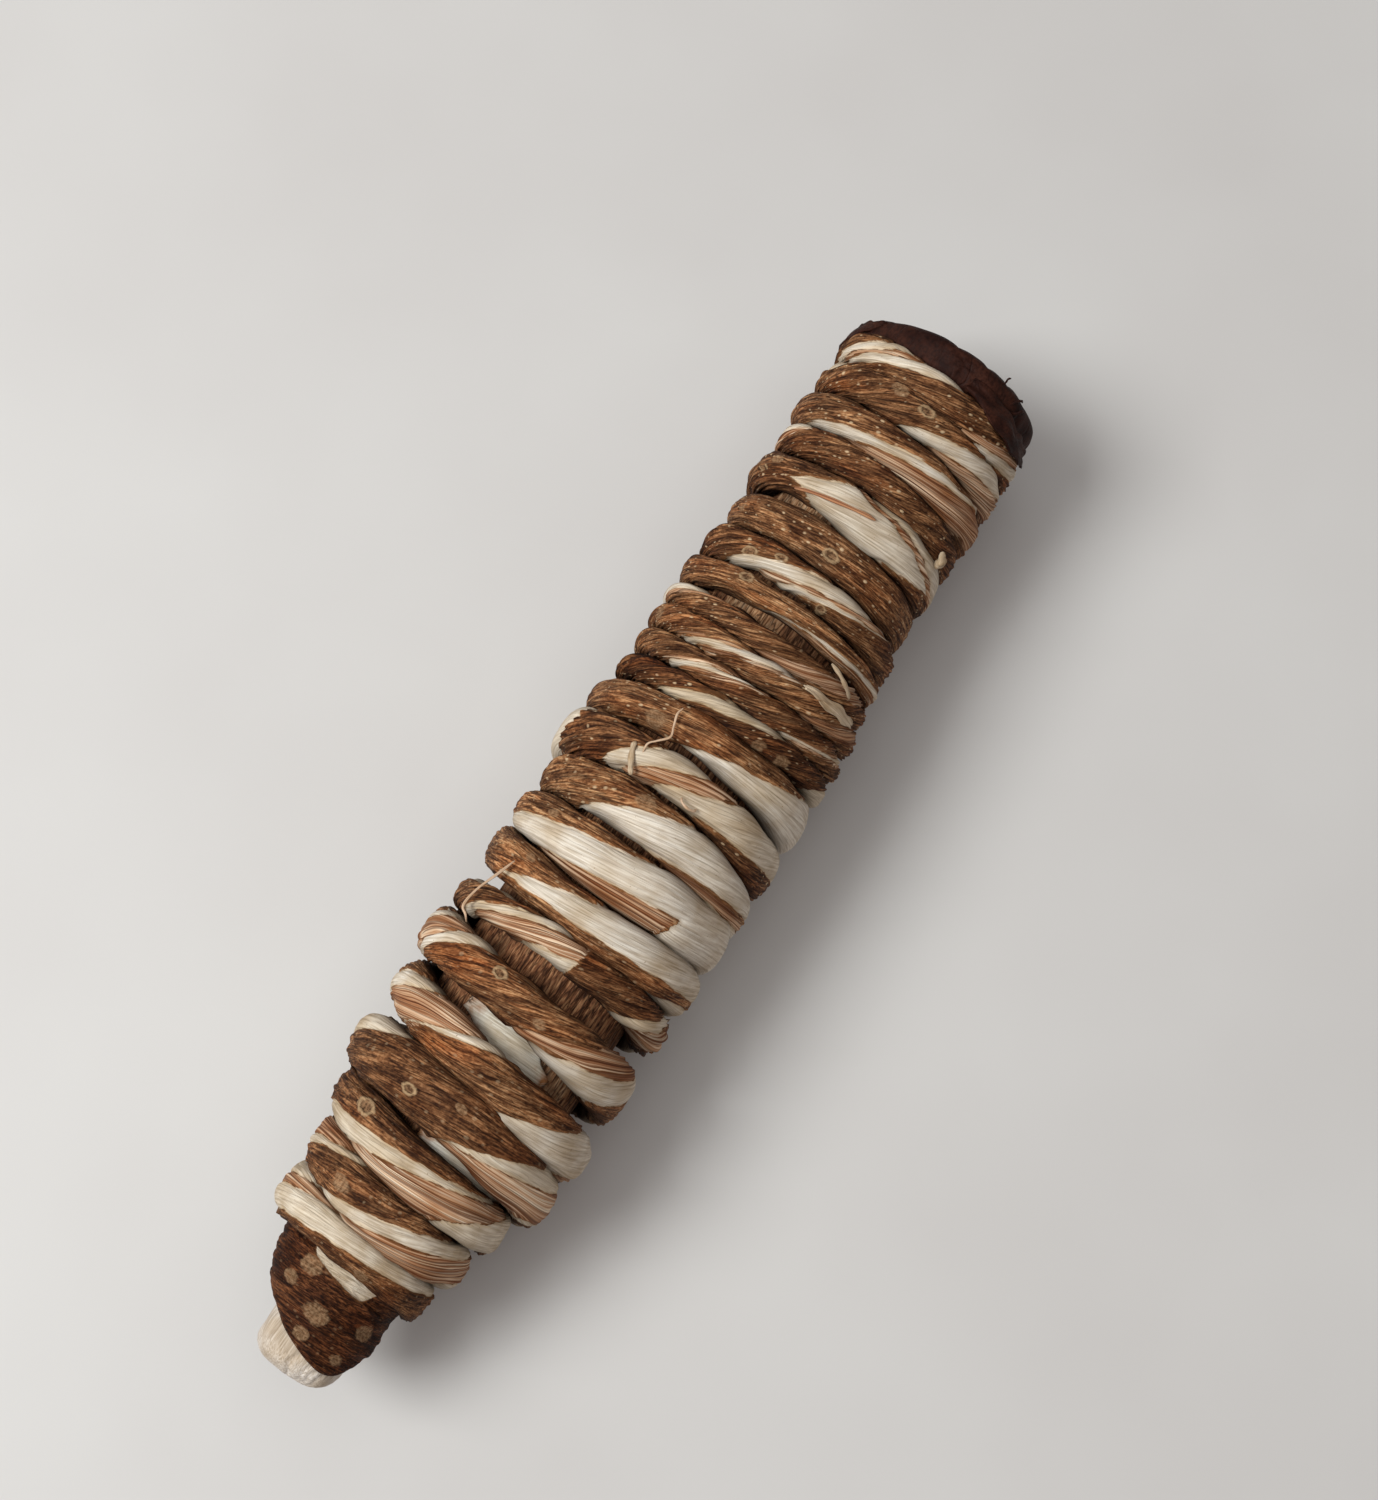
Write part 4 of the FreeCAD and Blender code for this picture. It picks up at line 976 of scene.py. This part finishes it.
degrees = np.linspace(0, 360, BAND_AROUND, endpoint=False)[:, None]
wrapped = (degrees + 60) % 360 - 60
at, outer_edge, winding_edge = zip(*BAND_EDGES)
outer_edge, winding_edge = (smooth_through(at, edge, wrapped) for edge in (outer_edge, winding_edge))
across = np.linspace(0, 1, BAND_FACE)[None, :]
place = outer_edge + (winding_edge + LINING_WIDTH - outer_edge) * across
lining_end = np.clip((np.abs(wrapped - LINING_MIDDLE) - LINING_REACH) / LINING_FADE, 0, 1) ** 2
white = place - winding_edge - LINING_DRAWN_BACK * lining_end
angle = np.radians(degrees)
rounded = np.sqrt(1 - (1 - np.clip((place - outer_edge) / BAND_EDGE_ROUND, 0, 1)) ** 2)
slope = np.maximum(bark_radius(np.maximum(place, bark_places[0])), PLUG_REST)
held = np.clip((place - THIN_FROM) / THIN_OVER, THIN_SHARE, 1)
fold = 0.16 * np.sin(place * 1.7 + 2 * np.sin(angle)) + 0.1 * np.sin(place * 3.1 + 3 * np.sin(2 * angle + 1))
fold = fold + 0.06 * np.sin(place * 6.3 + 5 * np.sin(angle * 2)) + 0.2 * np.sin(3 * angle + place * 0.3)
on_lining = np.clip((place - winding_edge) / LINING_STEP_OVER + 0.5, 0, 1)
radius = slope + BAND_FOOT + (BAND_THICKNESS * held + fold) * rounded - LINING_STEP * on_lining
radius = np.maximum(radius + np.interp(place, *zip(*NECK_LEAN)) * np.cos(angle), slope + BAND_LEAST)
scars = [(np.radians(degrees - at) * radius / BAND_SCAR_STRETCH, place - spot, size, kind)
         for at, spot, size, kind in BAND_SCARS]
apart, ring = nearest_scar(scars, place.shape)
radius = radius + scar_lift(apart, ring) * BAND_SCAR_SHARE
loop_place = np.hstack([place, place[:, -1:], outer_edge])
loop_radius = np.hstack([radius, slope[:, -1:] + BAND_INNER, slope[:, :1] + BAND_INNER])
hidden = np.full((BAND_AROUND, 2), OUTSIDE)
fields = {"fibre": vectors(loop_place, loop_radius, angle * BAND_RADIUS),
          "white": np.hstack([white, hidden]),
          "scar": np.hstack([apart, -hidden]), "ring": np.hstack([ring, 0 * hidden])}
loop = around_stick(loop_place, angle, loop_radius)
band = closed_mesh("end_band_skin", loop, band_skin, fields, joined=True)
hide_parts("end_band")


# ---------------------------------------------------------------- the pale plug
# The narrow end is closed by a plug of soft pith, cut round and pushed in. Its nose is creased, and three
# narrow creases side by side are where its edge has gone stringy.
PLUG_AROUND = 160
PLUG_ALONG = 110
plug_low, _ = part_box("narrow_end_plug")
plug_nose = plug_low.x / MM
# Its profile: how far from its nose, and its radius there.
PLUG_PROFILE = ((0.02, 0.4), (0.1, 3.0), (0.35, 5.4), (0.8, 7.4), (1.6, 9.0), (2.8, 10.3), (4.2, 11.1),
                (6.0, 11.5), (9.0, 11.5), (12.6, 11.2), (12.85, 10.6), (12.85, 6.2), (13.2, 5.6),
                (24.0, 5.6), (36.0, 5.6), (36.9, 4.6))
# The creases of its nose: the angle in degrees, how wide in degrees and how deep.
NOSE_CREASES = ((92, 4, 0.7), (114, 3, 0.35), (124, 3, 0.4), (136, 3, 0.35), (230, 5, 0.5), (300, 5, 0.4))
# The part that shows is creased and lumpy: how long it is, over how much that fades out along it and
# towards the middle of the nose, and how much it has shrunk.
NOSE_LENGTH, NOSE_FADE, NOSE_CALM_RADIUS = 13, 1.5, 8
NOSE_SHRINK = 0.35
LUMP_SHARE = 0.6
# Its very tip, this long, is also pushed in, by this share.
TIP_LENGTH, TIP_SHARE = 2, 0.3


def profile_run(profile):
    """How far along a profile each of its points lies."""
    return np.concatenate([[0], np.cumsum(np.hypot(*np.diff(profile, axis=0).T))])


run = profile_run(PLUG_PROFILE)
steps = np.linspace(0, run[-1], PLUG_ALONG)[:, None]
from_nose, plug_radius = (np.interp(steps, run, row) for row in zip(*PLUG_PROFILE))
plug_place = plug_nose + from_nose
angle = round_angles(PLUG_AROUND)[None, :]
degrees = np.degrees(angle)
on_nose = np.clip((plug_nose + NOSE_LENGTH - plug_place) / NOSE_FADE, 0, 1)
on_nose = on_nose * np.clip(plug_radius / NOSE_CALM_RADIUS, 0, 1)
crease = sum(deep * hump(degrees - at, 3 * np.sin(plug_place), wide) for at, wide, deep in NOSE_CREASES)
lumps = 0.3 * np.sin(3 * angle + 1) + 0.25 * np.sin(5 * angle + plug_place * 0.5)
lumps = lumps + 0.08 * np.sin(9 * angle - plug_place)
shrink = on_nose * (crease + NOSE_SHRINK - lumps * LUMP_SHARE)
pushed_in = shrink * TIP_SHARE * (plug_place < plug_nose + TIP_LENGTH)
points = around_stick(plug_place + pushed_in, angle, plug_radius - shrink)
cut_pith = pith_material("cut pith", (248, 249, 255))
plug = closed_mesh("pale_plug", points, cut_pith, {"fibre": ring_fibre(plug_place, angle, plug_radius)})
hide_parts("narrow_end_plug")


# ---------------------------------------------------------------- the leather cap
# A piece of dark maroon leather was drawn over the wide end while wet, gathered under the last turn of the
# winding, and left to shrink. Its edge is torn into a flap and a few curls.
CAP_AROUND = 288
CAP_ALONG = 230
# A star of creases where the leather was pinched: its angle, how far it lies along the profile, the cap's
# radius there, how far its creases reach, and how many and how deep they are.
STAR_ANGLE = np.radians(96)
STAR_RUN, STAR_RADIUS, STAR_REACH = 29, 25, 2.8
STAR_CREASES, STAR_DEPTH = 5, 0.5
# The leather is gathered into pleats from here along the profile, fully so this much further on.
GATHER_FROM, GATHER_OVER = 26, 12
PLEAT_DEPTH = 0.55
PLEAT_TUCK = 0.6
CAP_SHRINK = 0.45
# Its folds fade out over this much before the skirt's edge, and inside this radius on the end face.
SKIRT_FADE, CALM_RADIUS = 3, 10
# The end face is sunk and puckered: by how much, how deep the puckers go, and how far in from the end
# they fade out.
FACE_SINK, PUCKER_DEPTH, RIM_FADE = 0.2, 1.1, 2.5
SKIRT_EDGE = (27.4, 22.0)
# Its profile: how far in from its end face and its radius there, outside to the skirt's edge, then inside.
CAP_PROFILE = ((0.3, 0.6), (0.25, 5), (0.1, 10), (0.0, 16), (0.25, 20.2), (0.75, 23.0), (1.5, 25.0),
               (2.7, 26.2), (4.4, 26.7), (6.4, 26.5), (8.4, 25.8), (10.4, 24.7), (12.5, 23.3), (15, 22.6),
               (20, 22.2), SKIRT_EDGE, (27.7, 21.7), (27.4, 21.4), (15, 21.5), (8, 21.2), (3.2, 20.6),
               (2.0, 19.6), (1.9, 15), (1.9, 8), (1.9, 0.6))
_, cap_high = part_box("end_cap")
cap_end = cap_high.x / MM
run = profile_run(CAP_PROFILE)
steps = np.linspace(0, run[-1], CAP_ALONG)[:, None]
from_end, cap_radius = (smooth_through(run, row, steps) for row in zip(*CAP_PROFILE))
cap_place = cap_end - from_end
outside_run = run[CAP_PROFILE.index(SKIRT_EDGE)]
angle = round_angles(CAP_AROUND)[None, :]
outer_side = np.clip((outside_run - steps) / SKIRT_FADE, 0, 1) * np.clip(cap_radius / CALM_RADIUS, 0, 1)
gathered = np.clip((steps - GATHER_FROM) / GATHER_OVER, 0, 1)
pleat = 0.5 * np.sin(26 * angle + 3 * np.sin(3 * angle))
pleat = pleat + 0.3 * np.sin(41 * angle + 2 * np.sin(5 * angle + 1))
sag = 0.25 * np.sin(4 * angle + 1) + 0.18 * np.sin(7 * angle + 0.2 * steps)
sag = sag + 0.1 * np.sin(13 * angle - 0.4 * steps)
star_round, star_down = (angle - STAR_ANGLE) * STAR_RADIUS, steps - STAR_RUN
star = hump(np.hypot(star_round, star_down), 0, STAR_REACH)
spokes = STAR_DEPTH * star * (0.4 + 0.6 * np.cos(STAR_CREASES * np.arctan2(star_down, star_round)))
push = outer_side * (PLEAT_DEPTH * gathered * (pleat - PLEAT_TUCK) + sag - CAP_SHRINK - spokes)
on_face = np.clip((cap_place - cap_end + RIM_FADE) / RIM_FADE, 0, 1)
pucker = (1 - np.abs(np.sin(7 * angle + 1.3 * np.sin(3 * angle) + 0.5 * np.sin(0.25 * cap_radius)))) ** 2
sunk = outer_side * on_face * (FACE_SINK + PUCKER_DEPTH * pucker)
points = around_stick(cap_place - sunk, angle, cap_radius + push)
leather, tree, bsdf = new_material("maroon leather")
fibre = read(tree, "fibre", "Vector")
grain = noise(fibre, 1.3, 4.0, 0.6)
shade = add_ramp(noise(fibre, 0.16, 3.0), 0.35, 0.65, (40, 18, 13), (54, 28, 20), (68, 38, 28))
shade = wash(0.7, shade, add_ramp(grain, 0.35, 0.6, (150, 130, 124), (255, 250, 246)))
creases = lines_along(fibre, 0.35, 0.4)["Cracks"]
shade = paint(creases, 0.3, shade, (34, 20, 18))
height = minus(grain, times(creases, 0.6))
rough = calc("MULTIPLY_ADD", grain, 0.25, 0.5)
finish_material(bsdf, shade, rough, gloss=0.1, bump=(height, 0.5, 0.5))
fibre = ring_fibre(cap_place, angle, cap_radius)
cap = closed_mesh("leather_cap", points[::-1], leather, {"fibre": fibre[::-1]})
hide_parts("end_cap")
FLAP_ROWS = ((108, 139.6, 25.6, 143.5, 25.8), (120, 137.3, 27.6, 143.4, 26.3),
             (132, 135.7, 28.8, 142.8, 26.6), (144, 135.0, 29.3, 141.6, 26.6),
             (155, 135.4, 29.3, 141.6, 26.6), (166, 137.0, 28.4, 141.8, 26.2))
flap = lay_sheet("leather_flap", FLAP_ROWS, leather, thickness=0.7, ragged=5.0, fold=0.6)
LAP_ROWS = ((-62, 142.5, 25.9, 147, 25.9), (-35, 141.4, 27.2, 146.8, 26.4), (-10, 140.4, 28.2, 146.4, 27.0),
            (8, 140.4, 28.4, 146.4, 27.0), (20, 142.4, 27.5, 146.8, 26.6), (30, 144.4, 26.4, 147, 26.0),
            (36, 145.2, 25.8, 147.2, 25.6))
lap = lay_sheet("leather_lap", LAP_ROWS, leather, thickness=0.7, ragged=2.0, fold=0.2)


# ---------------------------------------------------------------- loose fibres and curls
# Threads, shreds, a splinter and curls have come loose from the stem and the cap, and lie on the turns where
# they fell. A small sheet of pith stands up at one torn edge.
STRAND_POINTS = 48
STRAND_SIDES = 10
STRAND_TAPER = 0.5
STRAND_FIBRE = 30


def lay_strand(name, route, thick, material):
    """A loose strand through points given as a place along the stick, an angle in degrees and a radius."""
    spaced = np.linspace(0, 1, len(route))
    along = np.linspace(0, 1, STRAND_POINTS)
    place, degrees, radius = (smooth_through(spaced, row, along) for row in zip(*route))
    middle = around_stick(place, np.radians(degrees), radius)
    ahead = np.gradient(middle, axis=0)
    ahead /= np.linalg.norm(ahead, axis=1, keepdims=True)
    out = around_stick(place, np.radians(degrees), radius + 1) - middle
    side = np.cross(ahead, out)
    side /= np.linalg.norm(side, axis=1, keepdims=True)
    up = np.cross(side, ahead)
    turn = round_angles(STRAND_SIDES)[:, None]
    girth = thick / 2 * MM * (1 - STRAND_TAPER * (2 * along - 1) ** 4) * (1 + 0.15 * np.sin(along * 17))
    ring = np.cos(turn) * side[:, None] + 0.6 * np.sin(turn) * up[:, None]
    points = middle[:, None] + girth[:, None, None] * ring
    fibre = vectors(thick * np.cos(turn[:, 0]), thick * np.sin(turn[:, 0]), along[:, None] * STRAND_FIBRE)
    return closed_mesh(name, points[:, ::-1], material, {"fibre": fibre[:, ::-1]})


thread = pith_material("loose thread", (250, 228, 212))
shred = pith_material("loose shred", (236, 224, 208))
splinter, tree, bsdf = new_material("brown splinter")
middle = place_group(tree, inner_layer, {"Fibre": read(tree, "fibre", "Vector")})
shade = wash(1.0, middle["Color"], (236, 206, 180))
finish_material(bsdf, shade, 0.75, bump=(middle["Height"], 0.6, 0.3))
# The route, the thickness in millimetres and the material of each strand.
STRANDS = {
    "loose_thread_1": (((-38.5, 42, 30.5), (-37.2, 42.5, 32.2), (-35.6, 40.5, 33.4), (-31.0, 42.5, 33.6),
                        (-25.0, 48.0, 33.4), (-20.5, 51.5, 33.2)),
                       0.85, thread),
    "loose_thread_2": (((16.5, 74.0, 32.8), (19.5, 73.5, 33.2), (21.5, 76.0, 32.6), (24.0, 79.5, 32.0),
                        (26.5, 78.5, 32.6), (29.5, 77.0, 33.0), (31.5, 77.5, 32.7)),
                       0.6, thread),
    "loose_thread_3": (((13.2, 98, 32.4), (12.2, 99, 33.2), (11.6, 102, 33.6), (12.0, 105, 33.2),
                        (12.9, 106, 32.4)),
                       0.7, thread),
    "loose_splinter_1": (((94.6, 58, 28.8), (94.9, 66, 29.6), (95.4, 76, 29.9), (96.2, 88, 29.9),
                          (97.0, 97, 29.6), (97.4, 102, 29.2)),
                         1.1, splinter),
    "torn_bit_2": (((58.6, 143, 30.4), (59.4, 138, 31.0), (60.2, 133, 31.2), (61.2, 128, 30.8),
                    (62.0, 123, 30.0)),
                   1.2, shred),
    "torn_bit_3": (((100.6, 149, 27.4), (101.6, 151.5, 28.2), (102.6, 149, 28.3), (103.6, 150.5, 27.4)),
                   2.9, shred),
    "fold_lip": (((11.3, 74.5, 32.3), (12.6, 73, 33.1), (15.2, 70.5, 33.3), (17.6, 68.5, 33.0),
                  (18.8, 67.5, 32.2)),
                 1.5, shred),
    "cap_curl_1": (((146.6, 120, 25.4), (147.6, 121.5, 26.1), (148.6, 121, 26.6), (149.4, 122.5, 26.5)),
                   0.55, leather),
    "cap_curl_2": (((143.0, 136, 25.6), (144.0, 138.5, 26.8), (145.2, 140.0, 27.2), (146.0, 142.5, 26.6),
                    (145.8, 145.0, 26.2)),
                   0.9, leather),
    "cap_curl_3": (((144.6, 133, 25.8), (146.0, 133.5, 26.6), (147.2, 136.0, 26.8), (147.6, 139.0, 26.2)),
                   0.7, leather),
}
for name, (route, thick, material) in STRANDS.items():
    strand = lay_strand(name, route, thick, material)
BIT_ROWS = ((120, 52.8, 30.0, 54.2, 29.2), (130, 52.2, 31.2, 55.0, 30.0), (142, 52.4, 31.6, 55.6, 30.4),
            (154, 53.4, 31.0, 55.6, 30.0))
bit = lay_sheet("torn_bit_1", BIT_ROWS, shred, thickness=0.6, ragged=3.0, fold=0.3)


low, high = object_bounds()
